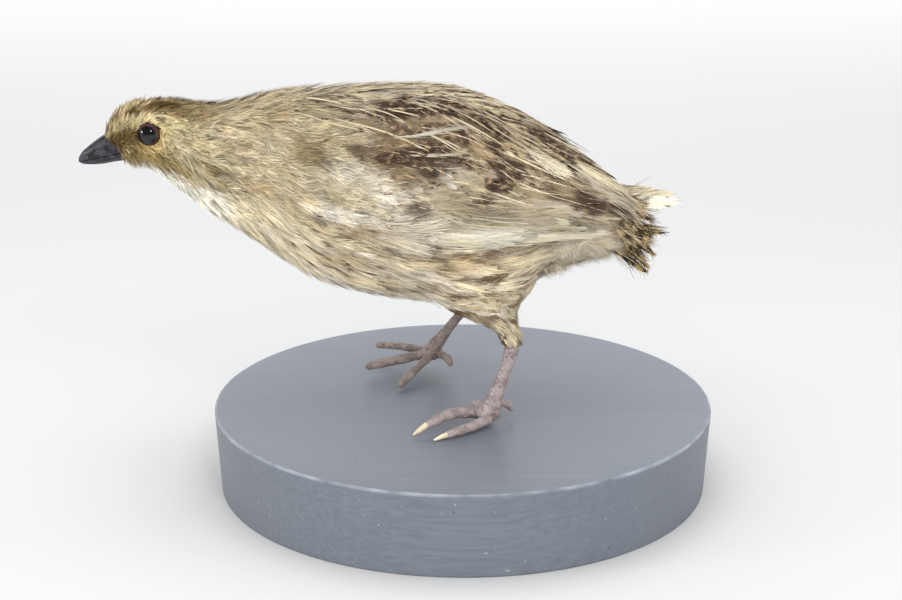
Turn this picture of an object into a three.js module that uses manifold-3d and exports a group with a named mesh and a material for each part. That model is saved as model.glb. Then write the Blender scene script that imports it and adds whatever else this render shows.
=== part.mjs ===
// A life-size mounted coturnix quail, standing still on its round, painted wooden base.
// Millimetres, +Z up. The origin is the centre of the base's underside, the bird's head points
// to -X and its left side faces -Y.
import * as THREE from "three";
import { mergeVertices } from "three/addons/utils/BufferGeometryUtils.js";
import Module from "manifold-3d";

const wasm = await Module();
wasm.setup();

// Fit
const GAP = 0.3; // space left between two pieces that touch
const WELD = 1e-4; // vertices closer than this are one

// Base
const BASE_HEIGHT = 24.5;
const BASE_TOP_RADIUS = 73.8;
const BASE_FOOT_RADIUS = 72.4;
const BASE_ARRIS = 0.7;
const BASE_SIDES = 56;

// Trunk: the outline of the coat from the bill root to the tail root, one row a station
const MEDIAN_Y = 4; // the bird stands a little behind the base's middle
const TRUNK_ROUNDNESS = 2.15; // exponent of the sections, 2 is an ellipse
const TRUNK_SIDES = 24;
const TORSO_ROWS = 21;
const NECK_ROWS = 8;
const HEAD_ROWS = 11;
const TAIL_CORE_ROWS = 7;
const TRUNK = [
  { x: -104, top: 105.0, bottom: 97.5, half: 3.7 }, // feathers at the bill root
  { x: -100.5, top: 110.4, bottom: 96.9, half: 6.6 }, // forehead
  { x: -97, top: 113.4, bottom: 96.3, half: 8.3 },
  { x: -93, top: 114.6, bottom: 95.6, half: 9.6 }, // crown, before the eye
  { x: -88, top: 115.5, bottom: 93.1, half: 10.1 }, // crown, behind the eye
  { x: -82, top: 114.7, bottom: 88.5, half: 10.7 }, // back of the head
  { x: -74, top: 113.8, bottom: 82.6, half: 12.0 }, // nape and throat
  { x: -64, top: 114.9, bottom: 75.7, half: 14.8 }, // root of the neck
  { x: -54, top: 117.2, bottom: 68.8, half: 18.5 },
  { x: -42, top: 118.6, bottom: 62.0, half: 23.0 }, // breast and mantle
  { x: -28, top: 119.2, bottom: 58.4, half: 26.5 },
  { x: -14, top: 119.1, bottom: 55.7, half: 27.5 }, // widest
  { x: 0, top: 117.5, bottom: 55.5, half: 27.0 }, // belly between the legs
  { x: 14, top: 112.2, bottom: 59.0, half: 24.5 },
  { x: 28, top: 103.8, bottom: 63.7, half: 18.5 }, // rump
  { x: 40, top: 94.5, bottom: 66.5, half: 12.0 }, // tail root
  { x: 46, top: 89.6, bottom: 67.5, half: 8.6 },
  { x: 51, top: 83.0, bottom: 69.5, half: 4.4 }, // end of the tail's fleshy core
];
const HEAD_END_X = -80;
const NECK_END_X = -60;
const TORSO_END_X = 40;
const TAIL_CORE_END_X = 51;

// The lay of the folded wings: the same body, running on behind the rump
const LAY = [
  { x: -60, top: 116.0, bottom: 73.0, half: 15.5 },
  { x: -44, top: 118.4, bottom: 63.0, half: 22.3 },
  { x: -28, top: 119.2, bottom: 58.4, half: 26.5 },
  { x: -14, top: 119.1, bottom: 55.7, half: 27.5 },
  { x: 0, top: 117.5, bottom: 56.0, half: 27.0 },
  { x: 14, top: 111.5, bottom: 59.0, half: 25.0 },
  { x: 28, top: 104.5, bottom: 63.0, half: 20.5 },
  { x: 42, top: 97.0, bottom: 67.0, half: 15.5 },
  { x: 54, top: 93.0, bottom: 71.0, half: 12.5 },
  { x: 66, top: 90.5, bottom: 74.0, half: 10.5 },
];

// Bill
const BILL = [
  { x: -97.5, culmen: 106.6, mouth: 100.1, lower: 97.0, half: 4.3 }, // inside the feathers
  { x: -101, culmen: 105.6, mouth: 99.2, lower: 96.5, half: 3.7 },
  { x: -104, culmen: 104.0, mouth: 98.4, lower: 96.0, half: 3.1 },
  { x: -106, culmen: 102.7, mouth: 97.9, lower: 95.8, half: 2.6 },
  { x: -108, culmen: 101.0, mouth: 97.4, lower: 95.7, half: 2.0 },
  { x: -110, culmen: 99.2, mouth: 96.9, lower: 95.8, half: 1.3 },
  { x: -111.3, culmen: 97.8, mouth: 96.6, lower: 96.1, half: 0.7 }, // blunt tip
];
const BILL_SIDES = 16;
const BILL_ROWS = 12;
const BILL_ROW_EASE = 0.8; // below 1 sets the rows closer towards the tip
const BILL_FULLNESS = 0.85; // below 1 makes the sections squarer than an ellipse
const BILL_WALL = 0.8; // share of the half width where the flap over the nostril sits
const FEATHER_LINE_TOP = { x: -103.9, z: 104.2 }; // where the feathers meet the culmen
const FEATHER_LINE_FOOT = { x: -98.6, z: 96.8 }; // and the lower mandible
const NOSTRIL = { x: -102.6, z: 101.4, length: 4.2, height: 0.9, depth: 0.8, rise: 0.3 };
const OPERCULUM = { x: -101.9, z: 102.5, length: 4.6, height: 2.0, bulge: 0.45 };
const GAPE_LENGTH = 3.0;
const GAPE_HEIGHT = 0.4;

// Eyes
const EYE_RADIUS = 3.7;
const EYE_X = -89.4;
const EYE_Z = 106.3;
const EYE_OUT = 7.6; // middle of the glass ball from the median plane
const EYE_FORWARD = 0.16; // how far the eye looks ahead, in radians
const LID_RADIUS = 3.35;
const LID_THICKNESS = 0.6;
const LID_OUT = 2.2; // the lid ring from the middle of the ball
const EYE_SIDES = 14;
const EYE_ROWS = 9;
const LID_SIDES = 5;

// Legs: `out` is the distance from the median plane
const LEGS = {
  left: {
    side: -1,
    thigh: [
      { z: 72, x: 6, out: 11, long: 14, wide: 11 },
      { z: 67, x: 6.2, out: 13.2, long: 17, wide: 11.6 },
      { z: 62, x: 5.2, out: 15, long: 16, wide: 10.8 },
      { z: 57.5, x: 6.6, out: 17, long: 12, wide: 8.6 },
      { z: 54.5, x: 9.8, out: 18.8, long: 7.6, wide: 6.5 },
      { z: 52, x: 12.2, out: 20.4, long: 4.7, wide: 4.6 },
      { z: 49.5, x: 13.4, out: 21.1, long: 3.4, wide: 3.4 },
      { z: 47.3, x: 13.9, out: 21.4, long: 2.8, wide: 2.8 },
    ],
    tarsus: [
      { x: 14.4, out: 21.4, z: 47.0, r: 2.3 },
      { x: 13.1, out: 21.9, z: 43.0, r: 1.85 },
      { x: 11.3, out: 22.7, z: 38.0, r: 1.75 },
      { x: 9.6, out: 23.5, z: 33.2, r: 2.15 },
      { x: 8.6, out: 24.0, z: 30.4, r: 2.7 },
    ],
    ball: { x: 7.2, out: 24.4, z: 27.9, long: 3.5, wide: 3.0, high: 2.6 },
    toes: {
      middle: [
        { x: 4.3, out: 23.0, z: 27.2, r: 1.6 },
        { x: 0.2, out: 25.0, z: 28.0, r: 1.6 },
        { x: -4.0, out: 27.6, z: 28.4, r: 1.55 },
        { x: -7.4, out: 30.2, z: 27.7, r: 1.45 },
        { x: -10.2, out: 32.4, z: 26.9, r: 1.2 },
      ],
      outer: [
        { x: 6.6, out: 27.0, z: 26.5, r: 1.6 },
        { x: 2.6, out: 31.6, z: 26.3, r: 1.45 },
        { x: -1.6, out: 35.4, z: 26.1, r: 1.25 },
        { x: -4.6, out: 37.6, z: 25.9, r: 1.0 },
      ],
      inner: [
        { x: 4.6, out: 21.2, z: 28.9, r: 1.1 },
        { x: 2.6, out: 20.0, z: 29.6, r: 0.9 },
      ],
      hallux: [
        { x: 11.0, out: 21.6, z: 29.6, r: 1.1 },
        { x: 13.2, out: 20.4, z: 28.6, r: 1.0 },
        { x: 14.3, out: 19.6, z: 26.6, r: 0.85 },
      ],
    },
    claws: {
      middle: [
        { x: -10.55, out: 32.7, z: 26.8, r: 0.95 },
        { x: -12.4, out: 34.2, z: 26.1, r: 0.7 },
        { x: -14.1, out: 35.4, z: 25.1, r: 0.25 },
      ],
      outer: [
        { x: -4.95, out: 37.8, z: 25.85, r: 0.8 },
        { x: -6.6, out: 38.7, z: 25.55, r: 0.6 },
        { x: -8.2, out: 39.5, z: 25.15, r: 0.25 },
      ],
    },
  },
  right: {
    side: 1,
    thigh: [
      { z: 72, x: 3, out: 11, long: 18, wide: 12 },
      { z: 67, x: 2, out: 13, long: 17.5, wide: 11.6 },
      { z: 62, x: 0.6, out: 14.6, long: 13, wide: 9.6 },
      { z: 58.5, x: 1.0, out: 15.8, long: 9.2, wide: 7.6 },
      { z: 55.5, x: 2.4, out: 16.8, long: 6, wide: 5.4 },
      { z: 53, x: 3.6, out: 17.3, long: 4, wide: 4 },
      { z: 50.2, x: 3.8, out: 17.5, long: 2.8, wide: 2.8 },
    ],
    tarsus: [
      { x: 3.6, out: 17.5, z: 49.9, r: 1.9 },
      { x: 0.5, out: 17.5, z: 46.0, r: 1.5 },
      { x: -3.0, out: 18.0, z: 41.3, r: 1.45 },
      { x: -6.2, out: 19.4, z: 36.6, r: 1.8 },
      { x: -8.4, out: 20.6, z: 33.4, r: 2.3 },
    ],
    ball: { x: -9.6, out: 21.3, z: 30.9, long: 3.2, wide: 2.9, high: 2.5 },
    toes: {
      middle: [
        { x: -12.6, out: 20.8, z: 30.2, r: 1.4 },
        { x: -18.5, out: 18.7, z: 29.5, r: 1.45 },
        { x: -24.5, out: 16.6, z: 28.8, r: 1.35 },
        { x: -30.0, out: 15.0, z: 28.1, r: 1.15 },
      ],
      outer: [
        { x: -11.4, out: 23.7, z: 30.5, r: 1.25 },
        { x: -16.6, out: 27.6, z: 30.2, r: 1.2 },
        { x: -22.4, out: 31.6, z: 29.6, r: 1.15 },
        { x: -27.4, out: 34.4, z: 28.8, r: 0.95 },
      ],
      inner: [
        { x: -10.9, out: 18.3, z: 29.8, r: 1.35 },
        { x: -13.6, out: 12.8, z: 28.9, r: 1.15 },
        { x: -16.6, out: 7.4, z: 27.4, r: 1.25 },
        { x: -19.2, out: 3.0, z: 26.2, r: 1.05 },
      ],
      hallux: [
        { x: -6.4, out: 19.2, z: 30.6, r: 1.1 },
        { x: -4.4, out: 17.2, z: 30.0, r: 1.1 },
        { x: -3.4, out: 16.0, z: 28.0, r: 0.9 },
      ],
    },
    claws: {},
  },
};
const LIMB_SIDES = 10;
const TOE_SIDES = 8;
const CLAW_SIDES = 7;
const THIGH_SIDES = 18;
const THIGH_ROWS = 10;
const SHANK_ROWS = 8;
const CLAW_ROWS = 4;

// Vanes: the rows of one, as shares of its length and of its full width
const VANE_THICKNESS = 0.6;
const VANE_OUTLINE = [
  { along: 0, width: 0.5, sunk: 1 },
  { along: 0.3, width: 0.95, sunk: 0 },
  { along: 0.82, width: 0.92, sunk: 0 },
  { along: 1, width: 0.3, sunk: 0 },
];
const ROOT_DEPTH = 1.2; // how deep a root is sunk in the core under it
const SHINGLE = 0.25; // how far a vane's outer edge stands over its neighbour

// Wings: the core that lies on the body, with its edges as turns from the middle of the back
const WING_CORE = [
  { x: -42, upper: 70, lower: 92, thick: 0.8 },
  { x: -36, upper: 52, lower: 101, thick: 2.2 },
  { x: -20, upper: 33, lower: 103, thick: 2.8 },
  { x: 0, upper: 29, lower: 103, thick: 2.8 },
  { x: 15, upper: 38, lower: 101, thick: 2.3 },
  { x: 28, upper: 54, lower: 98, thick: 1.7 },
  { x: 36, upper: 70, lower: 96, thick: 1.2 },
];
const WING_EDGE = 0.4; // share of its thickness that the core keeps at its edges
const CORE_ROWS = 8;
const CORE_STEPS = 6;

// Each tier runs from its lowest and outermost vane to its highest and innermost one.
const WING_TIERS = [
  {
    // primaries, showing along the lower edge
    count: 4,
    width: 4.6,
    over: 0.15,
    spread: 1.4,
    roots: [{ x: -22, turn: 100 }, { x: -8, turn: 92 }],
    tips: [{ x: 43.5, turn: 98 }, { x: 29, turn: 90 }],
  },
  {
    // secondaries
    count: 5,
    width: 6.2,
    over: 0.5,
    spread: 0.6,
    roots: [{ x: -14, turn: 97 }, { x: 6, turn: 71 }],
    tips: [{ x: 18, turn: 99 }, { x: 40, turn: 79 }],
  },
  {
    // tertials
    count: 3,
    width: 8.5,
    over: 0.9,
    spread: 0.7,
    roots: [{ x: 2, turn: 70 }, { x: 6, turn: 50 }],
    tips: [{ x: 46, turn: 75 }, { x: 37, turn: 54 }],
  },
  {
    // greater coverts
    count: 5,
    width: 8.4,
    over: 0.7,
    spread: 0.4,
    roots: [{ x: -27, turn: 97 }, { x: -20, turn: 60 }],
    tips: [{ x: -1, turn: 100 }, { x: 6, turn: 64 }],
  },
  {
    // median coverts
    count: 4,
    width: 9,
    over: 0.9,
    spread: 0.5,
    roots: [{ x: -37, turn: 90 }, { x: -33, turn: 62 }],
    tips: [{ x: -15, turn: 97 }, { x: -10, turn: 62 }],
  },
  {
    // lower scapulars
    count: 4,
    width: 10,
    over: 1.1,
    spread: 0.4,
    roots: [{ x: -34, turn: 52 }, { x: 2, turn: 46 }],
    tips: [{ x: -4, turn: 52 }, { x: 33, turn: 50 }],
  },
  {
    // upper scapulars
    count: 4,
    width: 10,
    over: 0.6,
    spread: 0.2,
    roots: [{ x: -34, turn: 42 }, { x: 3, turn: 31 }],
    tips: [{ x: -5, turn: 33 }, { x: 33, turn: 36 }],
  },
];
// Only on the right: the long pale feathers that stand off behind the rump
const PALE_VANES = {
  count: 2,
  width: 6.6,
  over: 0.2,
  spread: 8.2,
  roots: [{ x: 12, turn: 86 }, { x: 14, turn: 80 }],
  tips: [{ x: 62.5, turn: 91 }, { x: 55, turn: 84 }],
};
const CORE_DEPTH = 1.5; // how far the core reaches under the lay before it is cut to the body
const WAYWARD = { x: 1.2, turn: 1.0 }; // how far a tip strays from its even place
const WING_SEEDS = { left: 11, right: 23 };

// Tail
// Root and tip are given at the middle, with what the outermost feather adds to them.
const TAIL_TIERS = [
  {
    // tail feathers
    count: 9,
    width: 5.2,
    root: { x: 41.6, out: 0, z: 81 },
    rootEdge: { x: 0, out: 4.2, z: -4.5 },
    tip: { x: 58.5, out: 0, z: 75.5 },
    tipEdge: { x: -4.2, out: 9.2, z: -11 },
    facing: { x: 0.35, out: 0.8, z: 0.8 },
  },
  {
    // coverts above
    count: 5,
    width: 5.6,
    root: { x: 41.6, out: 0, z: 89 },
    rootEdge: { x: 0, out: 6.5, z: -4 },
    tip: { x: 53, out: 0, z: 82.5 },
    tipEdge: { x: -2, out: 8.4, z: -7 },
    facing: { x: 0.5, out: 0.8, z: 0.85 },
  },
  {
    // coverts below
    count: 4,
    width: 5.2,
    root: { x: 41.4, out: 0, z: 69.6 },
    rootEdge: { x: 0, out: 5.5, z: 3 },
    tip: { x: 54, out: 0, z: 64.6 },
    tipEdge: { x: -2, out: 6.4, z: 2.2 },
    facing: { x: -0.3, out: 0.6, z: -1 },
  },
];

// Colours and surfaces
const finish = (color, roughness, metalness = 0) =>
  new THREE.MeshStandardMaterial({ color, roughness, metalness });
const PAINTED_WOOD = finish(0x8b9099, 0.45);
const BROWN_COAT = finish(0x9d8c6e, 0.9);
const CREAM_COAT = finish(0xb9ad90, 0.9);
const WING_COAT = finish(0xa3927c, 0.85);
const TAIL_COAT = finish(0x8b7c61, 0.85);
const HORN_BLACK = finish(0x44434b, 0.4);
const EYE_GLASS = finish(0x2d2018, 0.05);
const LEG_SKIN = finish(0x9c8e8d, 0.65);
const CLAW_HORN = finish(0xcabc9e, 0.45);

// A closed solid of a three.js geometry whose shared vertices are merged.
function solidOf(geometry) {
  const bare = geometry.clone();
  bare.deleteAttribute("normal");
  bare.deleteAttribute("uv");
  const merged = mergeVertices(bare, WELD);
  const triangles = [];
  for (let i = 0; i < merged.index.count; i += 3) {
    const [a, b, c] = [0, 1, 2].map((k) => merged.index.getX(i + k));
    if (a !== b && b !== c && c !== a) triangles.push(a, b, c);
  }
  const points = merged.getAttribute("position").array;
  if (volumeOf(points, triangles) < 0) triangles.reverse();
  const mesh = new wasm.Mesh({
    numProp: 3,
    vertProperties: new Float32Array(points),
    triVerts: new Uint32Array(triangles),
  });
  return new wasm.Manifold(mesh);
}

// Six times the signed volume inside a list of triangles.
function volumeOf(points, triangles) {
  const corner = (i) => new THREE.Vector3().fromArray(points, triangles[i] * 3);
  let sum = 0;
  for (let i = 0; i < triangles.length; i += 3) {
    sum += corner(i).dot(corner(i + 1).cross(corner(i + 2)));
  }
  return sum;
}

// The largest closed surface of a solid, as a geometry.
function geometryOf(solid) {
  const shells = solid.decompose();
  const largest = shells.reduce((best, shell) => (shell.volume() > best.volume() ? shell : best));
  const mesh = largest.getMesh();
  const geometry = new THREE.BufferGeometry();
  geometry.setAttribute("position", new THREE.BufferAttribute(mesh.vertProperties.slice(), 3));
  geometry.setIndex(new THREE.BufferAttribute(mesh.triVerts.slice(), 1));
  geometry.computeVertexNormals();
  return geometry;
}

const join = (solids) => solids.reduce((whole, solid) => whole.add(solid));

// A closed geometry through rings of equally many points, its ends closed by fans.
function loft(rings) {
  const sides = rings[0].length;
  const points = rings.flat();
  const triangles = [];
  for (let row = 0; row + 1 < rings.length; row += 1) {
    for (let k = 0; k < sides; k += 1) {
      const a = row * sides + k;
      const b = row * sides + ((k + 1) % sides);
      triangles.push(a, b, a + sides, b, b + sides, a + sides);
    }
  }
  for (const [row, turned] of [[0, true], [rings.length - 1, false]]) {
    const centre = new THREE.Vector3();
    rings[row].forEach((point) => centre.addScaledVector(point, 1 / sides));
    points.push(centre);
    for (let k = 0; k < sides; k += 1) {
      const a = row * sides + k;
      const b = row * sides + ((k + 1) % sides);
      triangles.push(points.length - 1, ...(turned ? [b, a] : [a, b]));
    }
  }
  const geometry = new THREE.BufferGeometry().setFromPoints(points);
  geometry.setIndex(triangles);
  return geometry;
}

// Smooth values between the stations of a table, by its first field.
function stationCurve(table, key = "x") {
  const rows = [...table].sort((a, b) => a[key] - b[key]);
  const names = Object.keys(rows[0]).filter((name) => name !== key);
  const samples = rows.flatMap((row) => names.map((name) => row[name]));
  const curve = new THREE.CubicInterpolant(rows.map((row) => row[key]), samples, names.length);
  return (at) => {
    const values = curve.evaluate(at);
    return Object.fromEntries(names.map((name, k) => [name, values[k]]));
  };
}

// A point on a body of stations: `turn` runs in degrees from the back (0) over the bird's left
// side (90) to the belly (180), and on over its right side. `lift` is the height above the body.
function pointOn(curve, x, turn, lift = 0) {
  const { top, bottom, half } = curve(x);
  const angle = THREE.MathUtils.degToRad(turn);
  const round = (value) => Math.sign(value) * Math.abs(value) ** (2 / TRUNK_ROUNDNESS);
  const y = MEDIAN_Y - (half + lift) * round(Math.sin(angle));
  const z = (top + bottom) / 2 + ((top - bottom) / 2 + lift) * round(Math.cos(angle));
  return new THREE.Vector3(x, y, z);
}

const onTrunk = stationCurve(TRUNK);
const onLay = stationCurve(LAY);

// A length of the trunk between two planes across the bird.
function trunkLength(fromX, toX, rows, lift = 0) {
  const rings = [];
  for (let row = 0; row < rows; row += 1) {
    const x = THREE.MathUtils.lerp(fromX, toX, row / (rows - 1));
    const ring = [];
    for (let k = 0; k < TRUNK_SIDES; k += 1) {
      ring.push(pointOn(onTrunk, x, (k * 360) / TRUNK_SIDES, lift));
    }
    rings.push(ring);
  }
  return solidOf(loft(rings));
}

// A round limb along a smooth curve through points that each carry a radius. `extra` makes it
// thicker and longer all round, for cutting a neighbour clear of it.
function limb(places, side, sides, rows, extra = 0) {
  const at = places.map(({ x, out, z }) => new THREE.Vector3(x, MEDIAN_Y + side * out, z));
  const curve = new THREE.CatmullRomCurve3(at);
  const frames = curve.computeFrenetFrames(rows, false);
  const rings = [];
  for (let row = 0; row <= rows; row += 1) {
    const along = curve.getUtoTmapping(row / rows) * (places.length - 1);
    const before = Math.min(Math.floor(along), places.length - 2);
    const radius = THREE.MathUtils.lerp(places[before].r, places[before + 1].r, along - before) + extra;
    const beyond = row === 0 ? -extra : row === rows ? extra : 0;
    const centre = curve.getPointAt(row / rows).addScaledVector(frames.tangents[row], beyond);
    rings.push(ringAround(centre, frames.normals[row], frames.binormals[row], radius, radius, sides));
  }
  return solidOf(loft(rings));
}

// An elliptic ring of points about a centre.
function ringAround(centre, axisA, axisB, radiusA, radiusB, sides) {
  return Array.from({ length: sides }, (_, k) => {
    const angle = (k * 2 * Math.PI) / sides;
    return centre
      .clone()
      .addScaledVector(axisA, radiusA * Math.cos(angle))
      .addScaledVector(axisB, radiusB * Math.sin(angle));
  });
}

function ball({ x, out, z, long, wide, high }, side, extra = 0) {
  const geometry = new THREE.SphereGeometry(1, 12, 8);
  geometry.scale(long + extra, wide + extra, high + extra);
  geometry.translate(x, MEDIAN_Y + side * out, z);
  return solidOf(geometry);
}

function box(length, width, height, at, rise) {
  const geometry = new THREE.BoxGeometry(length, width, height);
  geometry.rotateY(rise);
  geometry.translate(at.x, at.y, at.z);
  return solidOf(geometry);
}

const quail = new THREE.Group();
quail.name = "mounted_quail";

function place(name, geometry, material) {
  const mesh = new THREE.Mesh(geometry, material);
  mesh.name = name;
  quail.add(mesh);
  return mesh;
}

// Base: a turned disc, a little wider at the top, with a small arris at both rims.
function baseGeometry() {
  const profile = [
    new THREE.Vector2(0, 0),
    new THREE.Vector2(BASE_FOOT_RADIUS - BASE_ARRIS, 0),
    new THREE.Vector2(BASE_FOOT_RADIUS, BASE_ARRIS),
    new THREE.Vector2(BASE_TOP_RADIUS, BASE_HEIGHT - BASE_ARRIS),
    new THREE.Vector2(BASE_TOP_RADIUS - BASE_ARRIS, BASE_HEIGHT),
    new THREE.Vector2(0, BASE_HEIGHT),
  ];
  const geometry = new THREE.LatheGeometry(profile, BASE_SIDES);
  geometry.rotateX(Math.PI / 2);
  return geometry;
}

// Bill: both mandibles end behind the slanted line where the feathers begin.
const onBill = stationCurve(BILL);

function mandible(isUpper) {
  const rings = [];
  for (let row = 0; row < BILL_ROWS; row += 1) {
    const share = (row / (BILL_ROWS - 1)) ** BILL_ROW_EASE;
    const x = THREE.MathUtils.lerp(BILL[0].x, BILL.at(-1).x, share);
    const { culmen, mouth, lower, half } = onBill(x);
    const edge = mouth + (isUpper ? GAP : -GAP) / 2;
    const height = (isUpper ? culmen : lower) - edge;
    const ring = [];
    for (let k = 0; k <= BILL_SIDES / 2; k += 1) {
      const angle = (k * 2 * Math.PI) / BILL_SIDES;
      const y = MEDIAN_Y + half * Math.cos(angle);
      ring.push(new THREE.Vector3(x, y, edge + height * Math.sin(angle) ** BILL_FULLNESS));
    }
    rings.push(ring);
  }
  return solidOf(loft(rings)).subtract(featherSide(-GAP / 2));
}

// Everything behind the line where the feathers meet the bill, or before it.
function featherSide(shift, isBehind = true) {
  const size = 40; // larger than the head
  const rise = Math.atan2(
    FEATHER_LINE_FOOT.x - FEATHER_LINE_TOP.x,
    FEATHER_LINE_TOP.z - FEATHER_LINE_FOOT.z,
  );
  const geometry = new THREE.BoxGeometry(size, size, size);
  geometry.translate((isBehind ? 1 : -1) * (size / 2) + shift, 0, 0);
  geometry.rotateY(-rise);
  geometry.translate(
    (FEATHER_LINE_TOP.x + FEATHER_LINE_FOOT.x) / 2,
    MEDIAN_Y,
    (FEATHER_LINE_TOP.z + FEATHER_LINE_FOOT.z) / 2,
  );
  return solidOf(geometry);
}

// A flattened ball on one side of the bill, for the nostril's slot and the flap above it.
function billLobe({ x, z, length, height }, out, depth, side) {
  const geometry = new THREE.SphereGeometry(1, 10, 6);
  geometry.scale(length / 2, depth, height / 2);
  geometry.rotateY(NOSTRIL.rise);
  geometry.translate(x, MEDIAN_Y + side * out, z);
  return solidOf(geometry);
}

function upperMandible() {
  let bill = mandible(true);
  for (const side of [-1, 1]) {
    const wall = onBill(OPERCULUM.x).half * BILL_WALL;
    bill = bill.add(billLobe(OPERCULUM, wall, OPERCULUM.bulge, side));
    bill = bill.subtract(billLobe(NOSTRIL, wall + OPERCULUM.bulge, NOSTRIL.depth, side));
  }
  return bill.subtract(featherSide(-GAP / 2));
}

// Eyes: glass balls in sockets, looking out and a little ahead, each inside a ring of lids.
function eyeCentre(side) {
  return new THREE.Vector3(EYE_X, MEDIAN_Y + side * EYE_OUT, EYE_Z);
}

function eyeBall(side, radius) {
  const geometry = new THREE.SphereGeometry(radius, EYE_SIDES, EYE_ROWS);
  const centre = eyeCentre(side);
  geometry.translate(centre.x, centre.y, centre.z);
  return geometry;
}

function lids(side) {
  const geometry = new THREE.TorusGeometry(LID_RADIUS, LID_THICKNESS, LID_SIDES, EYE_SIDES);
  geometry.translate(0, 0, LID_OUT);
  geometry.rotateX((-side * Math.PI) / 2);
  geometry.rotateZ(side * EYE_FORWARD);
  const centre = eyeCentre(side);
  geometry.translate(centre.x, centre.y, centre.z);
  return solidOf(geometry);
}

function headSolid() {
  let head = trunkLength(TRUNK[0].x, HEAD_END_X, HEAD_ROWS);
  head = head.subtract(featherSide(GAP / 2, false));
  for (const side of [-1, 1]) {
    head = head.add(lids(side)).subtract(solidOf(eyeBall(side, EYE_RADIUS + GAP)));
  }
  const gapeX = FEATHER_LINE_FOOT.x;
  const gape = { x: gapeX, y: MEDIAN_Y, z: onBill(gapeX).mouth };
  return head.subtract(box(2 * GAPE_LENGTH, 3 * onBill(gapeX).half, GAPE_HEIGHT, gape, NOSTRIL.rise));
}

// Legs
function thighSolid({ side, thigh }, extra = 0) {
  const across = new THREE.Vector3(1, 0, 0);
  const outward = new THREE.Vector3(0, 1, 0);
  const shape = stationCurve(thigh, "z");
  const rings = [];
  for (let row = 0; row < THIGH_ROWS; row += 1) {
    const z = THREE.MathUtils.lerp(thigh[0].z, thigh.at(-1).z, row / (THIGH_ROWS - 1));
    const { x, out, long, wide } = shape(z);
    const foot = row === THIGH_ROWS - 1 ? extra : 0;
    const centre = new THREE.Vector3(x, MEDIAN_Y + side * out, z - foot);
    rings.push(ringAround(centre, across, outward, long + extra, wide + extra, THIGH_SIDES));
  }
  return solidOf(loft(rings));
}

// A leg from the shank down. Each piece ends GAP clear of the one that it grows from.
function placeLeg(name, leg) {
  const { side, tarsus, toes, claws } = leg;
  const shank = limb(tarsus, side, LIMB_SIDES, SHANK_ROWS).subtract(thighSolid(leg, GAP));
  place(`tarsus_${name}`, geometryOf(shank), LEG_SKIN);
  let taken = limb(tarsus, side, LIMB_SIDES, SHANK_ROWS, GAP);
  place(`foot_${name}`, geometryOf(ball(leg.ball, side).subtract(taken)), LEG_SKIN);
  taken = taken.add(ball(leg.ball, side, GAP));
  for (const [toe, places] of Object.entries(toes)) {
    const rows = 2 * places.length;
    const solid = limb(places, side, TOE_SIDES, rows).subtract(taken);
    place(`toe_${name}_${toe}`, geometryOf(solid), LEG_SKIN);
    taken = taken.add(limb(places, side, TOE_SIDES, rows, GAP));
  }
  for (const [toe, places] of Object.entries(claws)) {
    const solid = limb(places, side, CLAW_SIDES, CLAW_ROWS).subtract(taken);
    place(`claw_${name}_${toe}`, geometryOf(solid), CLAW_HORN);
  }
}

// Feathers: flat tapered vanes
// A vane through frames {left, right, normal}, one for each row of VANE_OUTLINE. Both faces are
// split along the same diagonals, so that a bent vane keeps its thickness.
function vaneSolid(frames) {
  const points = frames.flatMap(({ left, right, normal }) =>
    [[left, -1, 1], [right, 1, 1], [right, 1, -1], [left, -1, -1]].map(([corner, edge, face]) =>
      corner.clone().addScaledVector(normal, (face * VANE_THICKNESS) / 2 + edge * SHINGLE),
    ),
  );
  const triangles = [];
  const quad = (a, b, c, d) => triangles.push(a, b, c, a, c, d);
  for (let row = 0; row + 1 < frames.length; row += 1) {
    const [a, b, c, d] = [0, 1, 2, 3].map((k) => 4 * row + k);
    quad(a, b, b + 4, a + 4);
    quad(b, c, c + 4, b + 4);
    triangles.push(d, c + 4, c, d, d + 4, c + 4);
    quad(d, a, a + 4, d + 4);
  }
  const last = 4 * (frames.length - 1);
  quad(3, 2, 1, 0);
  quad(last, last + 1, last + 2, last + 3);
  const geometry = new THREE.BufferGeometry().setFromPoints(points);
  geometry.setIndex(triangles);
  return solidOf(geometry);
}

// The frames of a vane that lies on a wing, from the place {x, turn} of its root to its tip's.
// `over` is its height above the wing's core, and `spread` what the tip adds to that.
function framesOnWing(root, tip, { over, spread = 0, width }, side) {
  const at = (x, turn, height) => pointOn(onLay, x, -side * turn, wingLift(x, turn) + height);
  return VANE_OUTLINE.map(({ along, width: share, sunk }) => {
    const x = THREE.MathUtils.lerp(root.x, tip.x, along);
    const turn = THREE.MathUtils.lerp(root.turn, tip.turn, along);
    const height = over + spread * along ** 2 - sunk * ROOT_DEPTH;
    const perDegree = at(x, turn + 0.5, 0).distanceTo(at(x, turn - 0.5, 0));
    const heading = new THREE.Vector2(tip.x - root.x, (tip.turn - root.turn) * perDegree).normalize();
    const reach = (width * share) / 2;
    const edge = (sign) =>
      at(x - sign * heading.y * reach, turn + (sign * heading.x * reach) / perDegree, height);
    return { left: edge(-1), right: edge(1), normal: at(x, turn, 1).sub(at(x, turn, 0)).normalize() };
  });
}

// The frames of a straight vane between two points, facing along `facing`.
function framesBetween(root, tip, facing, width) {
  const ahead = tip.clone().sub(root).normalize();
  const across = ahead.clone().cross(facing).normalize();
  const normal = across.clone().cross(ahead).normalize();
  return VANE_OUTLINE.map(({ along, width: share }) => {
    const centre = root.clone().lerp(tip, along);
    const reach = (width * share) / 2;
    return {
      left: centre.clone().addScaledVector(across, -reach),
      right: centre.clone().addScaledVector(across, reach),
      normal,
    };
  });
}

// Wings: a core that lies on the body, and tiers of vanes rooted in it.
const onWing = stationCurve(WING_CORE);

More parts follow.
